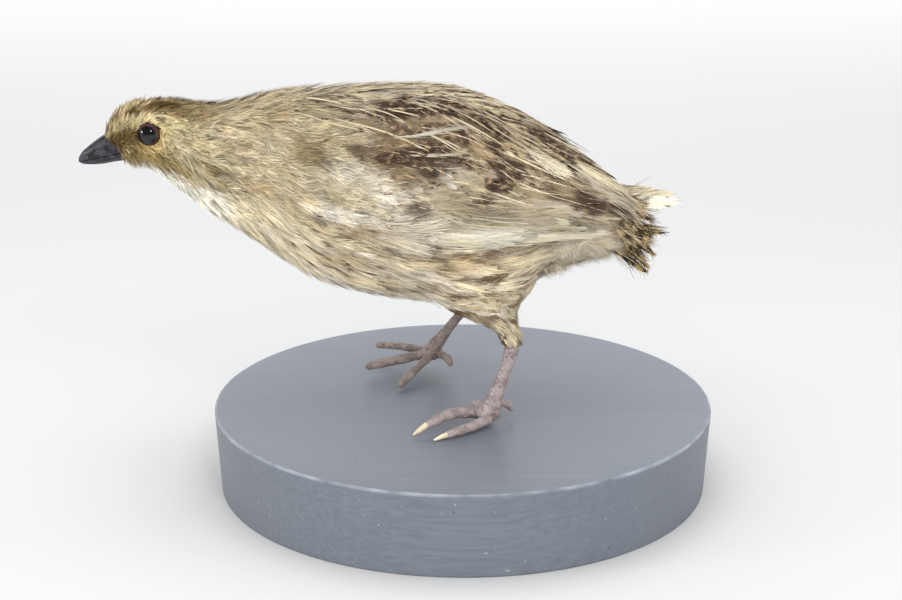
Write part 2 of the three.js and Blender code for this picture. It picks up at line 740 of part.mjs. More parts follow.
// The height of the core's surface over the lay, and of its edge's level outside it.
function wingLift(x, turn) {
  const { upper, lower, thick } = onWing(THREE.MathUtils.clamp(x, WING_CORE[0].x, WING_CORE.at(-1).x));
  const share = THREE.MathUtils.clamp((turn - upper) / (lower - upper), 0, 1);
  return thick * THREE.MathUtils.lerp(1, WING_EDGE, Math.abs(2 * share - 1) ** 3);
}

function tierSolids(tier, side, random) {
  const stray = (most) => most * (2 * random() - 1);
  const between = ([from, to], share) => ({
    x: THREE.MathUtils.lerp(from.x, to.x, share),
    turn: THREE.MathUtils.lerp(from.turn, to.turn, share),
  });
  return Array.from({ length: tier.count }, (_, k) => {
    const share = k / (tier.count - 1);
    const tip = between(tier.tips, share);
    tip.x += stray(WAYWARD.x);
    tip.turn += stray(WAYWARD.turn);
    return vaneSolid(framesOnWing(between(tier.roots, share), tip, tier, side));
  });
}

// Repeatable random numbers between 0 and 1, by Lehmer's rule.
function seeded(seed) {
  const factor = 16807;
  const modulus = 2147483647;
  let state = seed;
  return () => {
    state = (state * factor) % modulus;
    return state / modulus;
  };
}

function wingCore(side) {
  const steps = CORE_STEPS;
  const rings = [];
  for (let row = 0; row < CORE_ROWS; row += 1) {
    const x = THREE.MathUtils.lerp(WING_CORE[0].x, WING_CORE.at(-1).x, row / (CORE_ROWS - 1));
    const { upper, lower } = onWing(x);
    const ring = [];
    for (let k = 0; k < 2 * steps; k += 1) {
      const isOuter = k < steps;
      const share = isOuter ? k / (steps - 1) : (2 * steps - 1 - k) / (steps - 1);
      const turn = THREE.MathUtils.lerp(upper, lower, share);
      ring.push(pointOn(onLay, x, -side * turn, isOuter ? wingLift(x, turn) : -CORE_DEPTH));
    }
    rings.push(ring);
  }
  return solidOf(loft(rings));
}

function wingSolid(side) {
  const random = seeded(side < 0 ? WING_SEEDS.left : WING_SEEDS.right);
  const tiers = side > 0 ? [...WING_TIERS, PALE_VANES] : WING_TIERS;
  const vanes = tiers.flatMap((tier) => tierSolids(tier, side, random));
  return join([wingCore(side), ...vanes]).subtract(bodyClear).subtract(tailClear);
}

// Tail: the fleshy core, a fan of short drooping feathers and the coverts over and under it.
function tailSolid() {
  const vanes = TAIL_TIERS.flatMap(({ count, width, root, rootEdge, tip, tipEdge, facing }) => {
    const at = (middle, edge, share) =>
      new THREE.Vector3(
        middle.x + edge.x * share ** 2,
        MEDIAN_Y + edge.out * share,
        middle.z + edge.z * share ** 2,
      );
    return Array.from({ length: count }, (_, k) => {
      const share = (2 * k) / (count - 1) - 1;
      const outward = new THREE.Vector3(facing.x, facing.out * share, facing.z);
      return vaneSolid(framesBetween(at(root, rootEdge, share), at(tip, tipEdge, share), outward, width));
    });
  });
  return join([trunkLength(...TAIL_CORE_SPAN, TAIL_CORE_ROWS), ...vanes]).subtract(bodyClear);
}

const TORSO_SPAN = [NECK_END_X + GAP / 2, TORSO_END_X - GAP / 2];
const TAIL_CORE_SPAN = [TORSO_END_X + GAP / 2, TAIL_CORE_END_X];
const bodyClear = trunkLength(...TORSO_SPAN, TORSO_ROWS, GAP);
const tailClear = trunkLength(TORSO_END_X - GAP, TAIL_CORE_END_X + GAP, TAIL_CORE_ROWS, GAP);

place("stand_base", geometryOf(solidOf(baseGeometry())), PAINTED_WOOD);
place("torso", geometryOf(trunkLength(...TORSO_SPAN, TORSO_ROWS)), CREAM_COAT);
place("neck", geometryOf(trunkLength(HEAD_END_X + GAP, NECK_END_X - GAP / 2, NECK_ROWS)), CREAM_COAT);
place("head", geometryOf(headSolid()), BROWN_COAT);
place("tail", geometryOf(tailSolid()), TAIL_COAT);
place("bill_upper", geometryOf(upperMandible()), HORN_BLACK);
place("bill_lower", geometryOf(mandible(false)), HORN_BLACK);

for (const [name, leg] of Object.entries(LEGS)) {
  const side = leg.side;
  place(`eye_${name}`, geometryOf(solidOf(eyeBall(side, EYE_RADIUS))), EYE_GLASS);
  place(`wing_${name}`, geometryOf(wingSolid(side)), WING_COAT);
  place(`thigh_${name}`, geometryOf(thighSolid(leg).subtract(bodyClear)), CREAM_COAT);
  placeLeg(name, leg);
}

export default quail;
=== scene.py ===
"""A life-size mounted coturnix quail on its round painted base, dressed in its feathers.

Shapes are worked out with numpy in millimetres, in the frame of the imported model, and become
metres when they are made meshes. +Z is up, the head points to -X and the bird's left side faces
-Y, where the camera stands. A place on the coat is given by x and by its turn, in degrees from
the middle of the back (0) over the left side (90) to the belly (180), negative on the right.
"""

from __future__ import annotations

import logging
import math
from dataclasses import dataclass, replace
from enum import Enum, auto
from typing import Any, Callable

import bpy
import numpy as np
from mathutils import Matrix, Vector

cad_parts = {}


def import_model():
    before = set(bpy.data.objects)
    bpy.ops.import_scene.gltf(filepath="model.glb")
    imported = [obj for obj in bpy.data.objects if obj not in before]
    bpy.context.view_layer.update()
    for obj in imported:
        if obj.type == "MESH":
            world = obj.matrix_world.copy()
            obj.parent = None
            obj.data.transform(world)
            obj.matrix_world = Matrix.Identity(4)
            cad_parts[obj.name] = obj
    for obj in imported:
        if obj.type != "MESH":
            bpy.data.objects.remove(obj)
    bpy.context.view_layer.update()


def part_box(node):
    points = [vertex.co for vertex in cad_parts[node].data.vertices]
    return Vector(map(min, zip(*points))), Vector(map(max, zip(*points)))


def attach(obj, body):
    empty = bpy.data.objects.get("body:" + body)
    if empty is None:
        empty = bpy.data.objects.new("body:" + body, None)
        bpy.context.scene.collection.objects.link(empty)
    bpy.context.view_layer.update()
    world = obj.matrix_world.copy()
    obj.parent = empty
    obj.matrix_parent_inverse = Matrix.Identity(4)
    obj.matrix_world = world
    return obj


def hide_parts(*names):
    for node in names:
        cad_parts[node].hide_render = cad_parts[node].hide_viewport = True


Array = np.ndarray
Rng = np.random.Generator
Material = bpy.types.Material
Socket = bpy.types.NodeSocket
Pair = tuple[float, float]
Triple = tuple[float, float, float]
Places = tuple[tuple[float, float, float, float], ...]

SIDES = ((-1, "left"), (1, "right"))

MM = 0.001
MEDIAN_Y = 4.0  # the bird's median plane, a little behind the base's middle
ROUNDNESS = 2.15  # exponent of the body's sections, 2 is an ellipse
LOG = logging.getLogger("quail")


def colour(red: float, green: float, blue: float) -> Array:
    """A screen colour of 0 to 255 as the linear one that light obeys."""
    share = np.array([red, green, blue]) / 255
    return np.where(share <= 0.04045, share / 12.92, ((share + 0.055) / 1.055) ** 2.4)


def soft(value: Array) -> Array:
    """Eases 0..1, flat at both ends: v*v*(3 - 2v) of the held value."""
    held = np.clip(value, 0, 1)
    return held * held * (3 - 2 * held)


def smooth_rows(table: Array, at: Array) -> Array:
    """Smooth values between the rows of a table.

    Formula: between two rows a cubic whose slope at a row is the mean of the straight slopes on
    both sides; past the ends it runs on straight.

    Args:
        table: one row a station, its first column rising.
        at: places in the first column's unit.
    Returns:
        The other columns there, in the first axis.
    """
    key, values = table[:, 0], table[:, 1:]
    chord = np.diff(values, axis=0) / np.diff(key)[:, None]
    slope = np.vstack([chord[:1], (chord[1:] + chord[:-1]) / 2, chord[-1:]])
    held = np.clip(at, key[0], key[-1])
    row = np.clip(np.searchsorted(key, held, side="right") - 1, 0, len(key) - 2)
    span = (key[row + 1] - key[row])[..., None]
    p = (held - key[row])[..., None] / span
    start, end = values[row], values[row + 1]
    out = (2 * p**3 - 3 * p**2 + 1) * start + (3 * p**2 - 2 * p**3) * end
    out += span * ((p**3 - 2 * p**2 + p) * slope[row] + (p**3 - p**2) * slope[row + 1])
    beyond = (at - held)[..., None]
    return np.moveaxis(out + beyond * np.where(beyond < 0, chord[0], chord[-1]), -1, 0)


class Noise:
    """Soft random values from -1 to 1 over space."""

    def __init__(self, seed: int, size: int = 24) -> None:
        """Fills the table of random numbers."""
        self.size = size
        self.table = np.random.default_rng(seed).uniform(-1, 1, (size, size, size))

    def __call__(self, *places: Array) -> Array:
        """Blends the eight numbers round a place, eased along each axis.

        Args:
            places: two or three coordinates, one unit a cell.
        Returns:
            A value from -1 to 1 for each place.
        """
        x, y, z = np.broadcast_arrays(*places, *[np.float64(0)] * (3 - len(places)))
        low = [np.floor(axis).astype(int) for axis in (x, y, z)]
        part = [soft(axis - floor) for axis, floor in zip((x, y, z), low)]
        total = np.zeros(np.shape(x))
        for corner in range(8):
            bits = [(corner >> axis) & 1 for axis in range(3)]
            weight = np.prod([p if bit else 1 - p for p, bit in zip(part, bits)], axis=0)
            cell = tuple((floor + bit) % self.size for floor, bit in zip(low, bits))
            total += weight * self.table[cell]
        return total


class Form:
    """A surface that feathers lie on, with one coordinate along and one around."""

    hand = -1  # 1 where along times around points outwards

    def point(self, along: Array, turn: Array, lift: Array) -> Array:
        """The point at a place, raised by lift. Returns millimetres in a new last axis."""
        raise NotImplementedError

    def scales(self, along: Array, turn: Array) -> tuple[Array, Array]:
        """Millimetres for one unit of each coordinate, from points half a unit off."""
        ahead = self.point(along + 0.5, turn, 0) - self.point(along - 0.5, turn, 0)
        around = self.point(along, turn + 0.5, 0) - self.point(along, turn - 0.5, 0)
        return np.linalg.norm(ahead, axis=-1), np.linalg.norm(around, axis=-1)

    def body_place(self, along: Array, turn: Array) -> tuple[Array, Array]:
        """The x and turn on the trunk whose colours hold here."""
        return along, turn


def rounded(value: Array) -> Array:
    """A sine or cosine bent for a section a little squarer than round."""
    return np.sign(value) * np.abs(value) ** (2 / ROUNDNESS)


class Trunk(Form):
    """The coat's outline from bill to tail."""

    rows = np.array(
        [  # x, top, bottom, half width
            # bill root, forehead, crown behind the eye, nape and throat
            (-104, 105, 97.5, 3.7), (-100.5, 109.8, 96.9, 6.6), (-97, 112.5, 96.3, 8.3),
            (-93, 113.6, 95.6, 9.6), (-88, 114.9, 93.1, 10.1), (-82, 114.7, 88.5, 10.7),
            (-74, 113.8, 81.8, 12), (-64, 114.9, 75.7, 14.8), (-54, 117.2, 68.8, 18.5),
            # mantle and breast, the widest place, rump, end of the tail's fleshy core
            (-42, 118.6, 61.4, 23), (-28, 119.2, 57.8, 26.5), (-14, 119.1, 55.7, 27.5),
            (0, 117.5, 55.5, 27), (14, 112.2, 59, 24.5), (28, 103.8, 64.6, 18.5),
            (40, 94.5, 68.6, 12), (46, 89.6, 69.8, 8.6), (51, 83, 71, 4.4),
        ],
        float,
    )
    line = np.array(
        [  # z and x of the curve where the feathers end and the bill begins
            (96.9, -98.4), (99, -98.8), (100.6, -99.3), (102.1, -100.4), (103.7, -102.5), (104.8, -104),
        ]
    )
    bill_half = 4.0  # half width of the bill along that curve

    def point(self, along: Array, turn: Array, lift: Array) -> Array:
        """A squarish ellipse at x, close behind the bill no wider than it and a root of the way.

        Args:
            along: x.
            turn: degrees from the middle of the back.
            lift: height over the outline.
        Returns:
            Points in a new last axis.
        """
        along, turn, lift = np.broadcast_arrays(along, turn, lift)
        top, bottom, half = smooth_rows(self.rows, along.astype(float))
        angle = np.radians(turn)
        z = (top + bottom) / 2 + ((top - bottom) / 2 + lift) * rounded(np.cos(angle))
        out = (half + lift) * rounded(np.sin(angle))
        behind = np.maximum(along - self.feather_line(np.clip(z, 96.9, 104.8)), 0)
        limit = self.bill_half + 2.3 * np.sqrt(behind) + 60 * soft((along + 95) / 4) + lift
        return np.stack([along, MEDIAN_Y - np.clip(out, -limit, limit), z], axis=-1)

    def feather_line(self, z: Array) -> Array:
        """The x where the feathers end and the bill begins, by height."""
        return smooth_rows(self.line, z)[0]


class Wings(Trunk):
    """The lay of the folded wings: the body, run on behind and thickened."""

    rows = np.array([(-60, 116, 73, 15.5), (-44, 118.4, 63, 22.3), (-28, 119.2, 58.4, 26.5), (-14, 119.1,
        55.7, 27.5), (0, 117.5, 56, 27), (14, 111.5, 59, 25), (28, 104.5, 63, 20.5), (42, 97, 67, 15.5),
        (54, 93, 71, 12.5), (66, 90.5, 74, 10.5)], float)
    core = np.array(
        [  # x, upper and lower edge as turns, thickness
            (-50, 70, 92, 0), (-42, 70, 92, 0.9), (-36, 52, 101, 2.2), (-20, 33, 103, 2.8),
            (0, 29, 103, 2.8), (15, 38, 101, 2.3), (28, 54, 98, 1.7), (36, 70, 96, 1.2),
        ],
        float,
    )
    edge = 0.4  # share of the thickness that is left at the edges
    fade = 14.0  # degrees over which it fades out past them

    def thickness(self, along: Array, turn: Array) -> Array:
        """Fullest midway between the wing's edges, faded out past them."""
        held = np.clip(along, self.core[0, 0], self.core[-1, 0])
        upper, lower, thick = smooth_rows(self.core, held)
        share = (np.abs(turn) - upper) / (lower - upper)
        inside = self.edge + (1 - self.edge) * (1 - np.abs(2 * np.clip(share, 0, 1) - 1) ** 3)
        past = np.maximum(upper - np.abs(turn), np.abs(turn) - lower)
        return thick * inside * (1 - soft(past / self.fade))

    def point(self, along: Array, turn: Array, lift: Array) -> Array:
        """The trunk's formula with the wing's thickness added to the lift."""
        along, turn, lift = np.broadcast_arrays(along, turn, lift)
        return super().point(along, turn, lift + self.thickness(along.astype(float), turn))


class Thigh(Form):
    """The feathered upper leg: elliptic rings down from the flank."""

    top_z = 72.0

    def __init__(self, side: int) -> None:
        """Takes the rings of one side.

        Args:
            side: -1 for the bird's left, 1 for its right.
        """
        self.side = side
        self.hand = 1 if side < 0 else -1
        left = [  # height below the top, x, distance from the median plane, half length, half width
            (0, 5.4, 11, 13.6, 11), (5, 5.4, 13.2, 16.2, 11.6), (10, 4.4, 15, 15, 10.8),
            (14.5, 5.2, 17, 10.4, 8.4), (17.5, 8.8, 18.8, 6.6, 6.3), (20, 11.9, 20.4, 4.3, 4.4),
            (22.5, 13.4, 21.1, 3.4, 3.4), (24.7, 13.9, 21.4, 2.8, 2.8),
        ]
        right = [(0, 3, 11, 18, 12), (5, 2, 13, 17.5, 11.6), (10, 0.6, 14.6, 13, 9.6), (13.5, 1, 15.8, 9.2,
            7.6), (16.5, 2.4, 16.8, 6, 5.4), (19, 3.6, 17.3, 4, 4), (21.8, 3.8, 17.5, 2.8, 2.8)]
        self.rows = np.array(left if side < 0 else right, float)

    def point(self, along: Array, turn: Array, lift: Array) -> Array:
        """An ellipse at each height: turn 0 is in front, 90 outside and 180 behind.

        Args:
            along: millimetres down from the top.
            turn: degrees.
            lift: height over the ellipse.
        Returns:
            Points in a new last axis.
        """
        along, turn, lift = np.broadcast_arrays(along, turn, lift)
        x, out, long, wide = smooth_rows(self.rows, along.astype(float))
        angle = np.radians(turn)
        across = out + (np.maximum(wide, 1) + lift) * np.sin(angle)
        ahead = x - (np.maximum(long, 1) + lift) * np.cos(angle)
        return np.stack([ahead, MEDIAN_Y + self.side * across, self.top_z - along], axis=-1)

    def body_place(self, along: Array, turn: Array) -> tuple[Array, Array]:
        """The x of the point, and a turn on the flank that goes down with it."""
        x = self.point(along, turn, 0.0)[..., 0]
        return x, -self.side * (118 + 1.4 * np.clip(along, 0, 25)) + 0 * x


class Flank(Trunk):
    """The trunk pushed out sideways where a thigh lies under its feathers."""

    thighs = {-1: Thigh(-1), 1: Thigh(1)}

    def point(self, along: Array, turn: Array, lift: Array) -> Array:
        """The trunk's point, no nearer to the median plane than the thigh's ellipse there.

        Args:
            along: x.
            turn: degrees from the middle of the back.
            lift: height over the outline.
        Returns:
            Points in a new last axis.
        """
        points = super().point(along, turn, lift)
        x, y, z = np.moveaxis(points, -1, 0)
        out = np.abs(y - MEDIAN_Y)
        side = np.where(y < MEDIAN_Y, -1, 1)
        for one, thigh in self.thighs.items():
            down = np.clip(thigh.top_z - z, 0, 14)
            middle, away, long, wide = smooth_rows(thigh.rows, down)
            inside = np.clip(1 - ((x - middle) / (long + 2)) ** 2, 0, 1)
            reach = (away + (wide + 0.2 + lift) * np.sqrt(inside)) * soft(inside * 2.5)
            reach = reach * soft((80 - z) / 10)
            smooth = (out**8 + np.maximum(reach, 0) ** 8) ** (1 / 8)
            out = np.where((side == one) & (inside > 0), smooth, out)
        return np.stack([x, MEDIAN_Y + side * out, z], axis=-1)


TRUNK, WINGS, FLANK = Trunk(), Wings(), Flank()


@dataclass(frozen=True)
class Patch:
    """A soft-edged area of one colour, the same on both sides."""

    x: float
    turn: float
    half_x: float
    half_turn: float
    tint: Triple = (0, 0, 0)
    strength: float = 1.0
    softness: float = 0.5  # share of the half sizes over which it fades

    def weight(self, x: Array, turn: Array) -> Array:
        """How much of the patch shows: 1 inside, eased to 0 at its elliptic edge."""
        reach = np.hypot((x - self.x) / self.half_x, (np.abs(turn) - self.turn) / self.half_turn)
        return self.strength * soft((1 + self.softness / 2 - reach) / self.softness)


@dataclass(frozen=True)
class Mottle:
    """Dark blotches within an area: where soft noise of a certain size is high."""

    area: Patch
    long: float  # spacing of the blotches along the bird and around it, mm
    wide: float
    cover: float  # noise above this is dark
    strength: float = 1.0

    def dark(self, noise: Noise, x: Array, turn: Array) -> Array:
        """The blotches' strength at a place, at 0.45 mm a degree."""
        value = noise(x / self.long, turn * 0.45 / self.wide, self.long)
        return self.strength * soft((value - self.cover) / 0.22) * self.area.weight(x, turn)


class Markings:
    """The colours of skin and coat by their place on the bird."""

    ground = (186, 172, 143)
    patches = [
        Patch(*row)
        for row in (
            # breast, belly and throat; the near-white belly patch is partly the belly's own cream and
            # partly painted light standing in for light from below
            (-20, 150, 95, 48, (222, 210, 180)), (-14, 154, 38, 42, (244, 235, 214)),
            (-79, 146, 13, 48, (255, 252, 240)),
            # head and neck, the face first, the nape and the side of the neck last
            (-90, 80, 22, 50, (168, 148, 98)), (-100, 78, 9, 42, (114, 93, 58), 0.95),
            (-98, 124, 9, 20, (166, 144, 100), 0.9), (-95, 20, 22, 45, (184, 166, 126)),
            (-82, 34, 12, 9, (112, 90, 58), 0.85), (-83, 50, 12, 7, (206, 192, 150), 0.8),
            (-88, 62, 14, 9, (198, 184, 140), 0.8), (-81, 96, 9, 18, (170, 150, 106), 0.7),
            (-70, 12, 15, 40, (134, 117, 84), 0.95), (-70, 80, 14, 30, (183, 171, 141), 0.8),
            # mantle, back, scapulars, middle of the wing, rump and tertials
            (-44, 40, 26, 60, (177, 163, 134), 0.9), (8, 10, 40, 58, (178, 159, 126)),
            (-12, 38, 24, 20, (136, 118, 96), 0.85), (-2, 64, 26, 15, (124, 104, 79), 1.0),
            (34, 20, 20, 50, (134, 117, 90), 0.8), (18, 70, 30, 16, (160, 144, 116), 0.9),
            # bend of the wing, pale coverts, and the flight feathers along the lower edge
            (-32, 78, 12, 12, (190, 178, 150), 0.8), (-17, 87, 14, 9, (196, 185, 162), 0.95),
            (12, 95, 36, 8, (182, 173, 146)), (-18, 97, 22, 6, (196, 187, 164), 0.9),
            (-32, 94.5, 11, 3.4, (230, 223, 204)), (-14, 99.5, 14, 4, (226, 218, 198)),
            (8, 102, 20, 4, (222, 215, 194)), (30, 99, 14, 3.5, (222, 215, 192)),
            (-28, 99.5, 7, 2.4, (166, 142, 108), 0.85),
            # pale tufts on wing and back
            (-4, 71, 5, 6, (208, 199, 178), 0.85), (-12, 10, 26, 18, (210, 196, 168), 0.9),
            (-32, 73, 7, 5, (222, 213, 190), 0.9), (-24, 82, 7, 5, (222, 213, 190), 0.85),
            (-38, 94, 6, 4, (226, 219, 201), 0.85),
            # olive shades over shoulder and neck
            (-43, 62, 5, 11, (132, 117, 84), 0.85), (-52, 36, 4, 12, (140, 124, 90), 0.7),
            (-70, 91, 3, 6, (116, 100, 64), 0.9), (-67.5, 101, 2.6, 4, (120, 104, 68), 0.9),
            (-57.4, 94, 4, 4, (168, 146, 110), 0.8), (-64, 70, 4, 6, (140, 126, 94), 0.6),
            # flank, and the shade under the wing's edge
            (-8, 126, 40, 20, (210, 197, 170), 0.8), (6, 118, 17, 5, (182, 160, 122), 0.6),
            (-34, 122, 9, 7, (178, 154, 114), 0.6), (-27, 106.5, 11, 3.5, (124, 104, 76), 0.9),
            (-4, 110.5, 18, 3.0, (120, 100, 74), 0.95), (26, 108, 16, 3.3, (126, 108, 82), 0.95),
            # thigh, down under the tail, and root of the tail
            (12, 142, 18, 16, (186, 174, 148), 0.95), (40, 150, 18, 60, (204, 194, 174), 0.85),
            (50, 60, 9, 60, (118, 100, 74)),
        )
    ]
    spots = [  # single dark blotches, each with its strength
        Patch(*area, strength=strength)
        for *area, strength in (
            (-19, 36, 7, 8, 1), (-28, 63, 4, 6, 0.75), (-17.5, 64.5, 6, 6, 1), (-8, 60, 6, 5, 1),
            (-12, 86, 3.4, 5.2, 0.72), (-40, 98, 3.5, 4, 0.6), (-42, 64, 4, 7, 0.5), (9, 38, 6, 5, 1),
            (21, 23, 6, 8, 1), (13, 61, 6, 6, 1), (10, 72, 4, 4, 1), (7.5, 87, 5, 4.5, 0.5),
            (33, 35, 6, 9, 1), (36, 74, 6, 8, 0.9), (-86, 24, 4.5, 10, 1), (-94.7, 35, 2.4, 6, 1),
        )
    ]
    mottles = [
        Mottle(Patch(*area), *grain)
        for area, *grain in (
            ((8, 34, 34, 25), 5.4, 4.0, 0.22),  # back and scapulars
            ((10, 64, 32, 24), 5.0, 2.6, 0.2, 0.8),  # inner wing
            ((-14, 86, 24, 14), 4.0, 3.0, 0.5, 0.6),  # pale coverts
            ((-44, 50, 26, 60), 8.0, 4.6, 0.2, 0.4),  # mantle
            ((-70, 52, 16, 64), 3.2, 2.0, 0.3, 0.6),  # neck
            ((-92, 20, 14, 45), 2.6, 5.0, 0.25, 0.8),  # crown
            ((-26, 142, 54, 46), 3.6, 2.4, 0.42, 0.8),  # breast and flank
            ((10, 139, 20, 18), 9.0, 1.4, 0.13, 1.0),  # thigh and rear flank
        )
    ]

    def __init__(self) -> None:
        """Makes the soft noise that breaks up the patches' edges."""
        self.noise = Noise(7)

    def dark(self, x: Array, turn: Array) -> Array:
        """The dark blotches' strength, their edges broken by noise."""
        x = x + 1.7 * self.noise(x / 2, turn / 5, 2.2)
        turn = turn + 4.0 * self.noise(x / 2, turn / 5, 5.7)
        strengths = [mottle.dark(self.noise, x, turn) for mottle in self.mottles]
        return np.max(strengths + [spot.weight(x, turn) for spot in self.spots], axis=0)

    def at(self, x: Array, turn: Array) -> Array:
        """The coat's colour at a place, from the ground colour and each patch in turn.

        Args:
            x: places along the bird.
            turn: degrees from the middle of the back.
        Returns:
            Linear colours in a new last axis.
        """
        x, turn = np.broadcast_arrays(x, turn)
        wander = self.noise(x / 9, turn / 17)
        shade = np.ones(x.shape + (3,)) * colour(*self.ground)
        for patch in self.patches:
            weight = patch.weight(x + 1.6 * wander, turn + 3 * self.noise(x / 5, turn / 9, 3.5))
            shade += weight[..., None] * (colour(*patch.tint) - shade)
        uneven = 0.16 * self.noise(x / 5, turn / 7, 6.1) + 0.1 * self.noise(x / 2.2, turn / 3.4, 4.4)
        return shade * (1 + uneven)[..., None]


MARKINGS = Markings()


class Pattern(Enum):
    """How the feathers of a tract are marked."""

    PLAIN = auto()
    SPOT = auto()
    STREAK = auto()
    BACK = auto()
    BARRED = auto()
    FLIGHT = auto()
    TAIL = auto()


PLAIN, SPOT, STREAK, BACK, BARRED, FLIGHT, TAIL = Pattern


def oval(along: Array, across: Array, long: float, wide: float) -> Array:
    """A soft-edged ellipse, 1 in its middle and 0 past its half sizes."""
    return soft(1.7 - 1.7 * np.hypot(along / long, across / wide))


def marks(pattern: Pattern, share: Array, spread: Array, dice: Array) -> tuple[Array, Array]:
    """The dark marks of feathers and how strongly fine buff bars show on them.

    Formula: soft ellipses in the feather's own coordinates, set by its random numbers. The
    material frays them along the barbs and draws the bars.

    Args:
        pattern: the kind of marks.
        share: 0 at a feather's root to 1 at its tip.
        spread: -1 at one edge to 1 at the other.
        dice: four random numbers for each feather, in the first axis.
    Returns:
        The strength of the dark marks and of the bars.
    """
    none = 0 * (share + spread + dice[0])
    side = 0.9 * (dice[2] - 0.5)
    if pattern is SPOT:
        spot = oval(share - 0.6 - 0.2 * dice[1], spread - side, 0.26, 0.75)
        return spot * (dice[0] < 0.5) * (0.5 + 0.6 * dice[3]) + none, none
    if pattern is STREAK:
        streak = oval(share - 0.62, spread - 0.4 * side, 0.5, 0.55)
        return streak * (dice[0] < 0.6) * (0.4 + 0.7 * dice[3]) + none, none
    if pattern is BACK:
        first = oval(share - 0.3 - 0.5 * dice[1], spread - 2 * side, 0.26, 0.9)
        second = oval(share - 0.85 + 0.4 * dice[3], spread + 2 * side, 0.2, 0.8)
        return 1.15 * np.maximum(first, second * (dice[3] < 0.7)) * (dice[0] < 0.8), 1 + none
    if pattern is BARRED:
        patch = oval(share - 0.7 + 0.3 * dice[1], spread - side, 0.3, 0.8)
        return patch * (dice[0] < 0.4) + none, 0.8 * (dice[3] < 0.8) + none
    if pattern is FLIGHT:
        shade = oval(share - 0.3, spread - 0.5, 0.4, 0.9)
        return 0.5 * shade * (dice[0] < 0.4) + none, none
    if pattern is TAIL:
        return 0.9 * soft(1.6 - share) + none, 1 + none
    return none, none


@dataclass(frozen=True)
class Cut:
    """The build of a feather: a closed web, loose barbs, and a shaft."""

    web: int = 0  # cross lines of the closed web, 0 for none
    columns: int = 5  # points along a cross line
    core: float = 1.0  # width of the web as a share of the feather's
    strands: int = 3  # loose barbs on each side
    sweep: float = 0.4  # how far along the feather a barb runs, as a share
    curve: float = 1.7  # turn of the barbs towards the tip, 1 for straight
    bare: float = 0.04  # share of the shaft before the first barb
    crown: float = 0.96  # share of it at the last one
    leaf: Pair = (1.25, 0.5)  # exponents of the outline
    fray: float = 0.15  # how unevenly the barbs end
    tones: Pair = (0.85, 1.15)  # how bright loose barbs are
    streaks: float = 0.05  # how unevenly bright the cross lines are
    arch: float = 0.12  # droop of the edges, in half widths
    ruffle: float = 0.25  # random lift of a feather's tip, mm
    jitter: float = 0.06  # random lift of a barb, mm
    bend: float = 0.05  # sideways curve of the shaft, as a share
    rise: float = 1.5  # exponent of the climb from the skin
    shaft: float = 0.0  # width of the shaft, mm, 0 for none
    shaft_pale: float = 1.0
    thread: float = 0.17  # width of a loose barb, mm
    stray: float = 0.16  # how far they curl away, as a share
    reach: float = 1.15  # how far they reach, in half widths


HAIR = Cut(strands=11, sweep=0.72, crown=0.5, bare=0.0, leaf=(1.4, 0.5), fray=0.35, tones=(0.76, 1.18),
    arch=0.05, ruffle=0.45, jitter=0.07, bend=0.07, thread=0.36, stray=0.06)


@dataclass
class Roots:
    """Where a tract's feathers grow, how they lie and how large they are."""

    form: Form
    along: Array
    turn: Array
    to_along: Array  # root to tip, in the form's coordinates
    to_turn: Array
    length: Array
    width: Array
    depth: Array  # of the root below the coat's outside
    tip_lift: Array

    def shortened(self, share: Array) -> Roots:
        """The same tract with each feather at a share of its length."""
        names = ("to_along", "to_turn", "length")
        return replace(self, **{name: getattr(self, name) * share for name in names})

    def kept(self, mask: Array) -> Roots:
        """The same tract with only the feathers that a mask keeps."""
        fields = {name: value[mask] for name, value in vars(self).items() if name != "form"}
        return replace(self, **fields)

    def spread_out(self, share: Array, across: Array) -> tuple[Array, Array]:
        """Where the feathers' points lie in the form's coordinates.

        Formula: the shaft runs straight in them, and what lies beside it is square to it.

        Args:
            share: 0 at the root to 1 at the tip, feathers in the first axis.
            across: millimetres from the shaft.
        Returns:
            The two coordinates.
        """
        fit = (-1,) + (1,) * (share.ndim - 1)
        middle = self.along + self.to_along / 2, self.turn + self.to_turn / 2
        per_along, per_turn = self.form.scales(*middle)
        heading = np.arctan2(self.to_turn * per_turn, self.to_along * per_along)
        off_along = (-self.form.hand * np.sin(heading) / per_along).reshape(fit)
        off_turn = (self.form.hand * np.cos(heading) / per_turn).reshape(fit)
        at_along = self.along.reshape(fit) + self.to_along.reshape(fit) * share + off_along * across
        at_turn = self.turn.reshape(fit) + self.to_turn.reshape(fit) * share + off_turn * across
        return at_along, at_turn

    def place(self, share: Array, across: Array, lift: Array) -> Array:
        """Points of the feathers at a height over the form."""
        return self.form.point(*self.spread_out(share, across), lift)

    def spots(self, share: Array, across: Array) -> tuple[Array, Array]:
        """The x and turn on the trunk under points of the feathers."""
        return self.form.body_place(*self.spread_out(share, across))

    def body_places(self, share: float) -> tuple[Array, Array]:
        """The x and turn on the trunk under a share of each feather's length."""
        return self.form.body_place(self.along + self.to_along * share, self.turn + self.to_turn * share)

    def patch_places(self) -> Array:
        """Each root's place on the unwrapped skin: x and turn, each from 0 to 1."""
        x, turn = self.body_places(0.0)
        low, high = TRUNK.rows[0, 0], WINGS.rows[-1, 0]
        return np.stack([(x - low) / (high - low), turn / 360 + 0.5], axis=-1)


def spread_roots(form: Form, *values: Any) -> Roots:
    """Roots from the fields' values in their order, each for every feather or one for all."""
    return Roots(form, *np.broadcast_arrays(*[np.asarray(value, float) for value in values]))


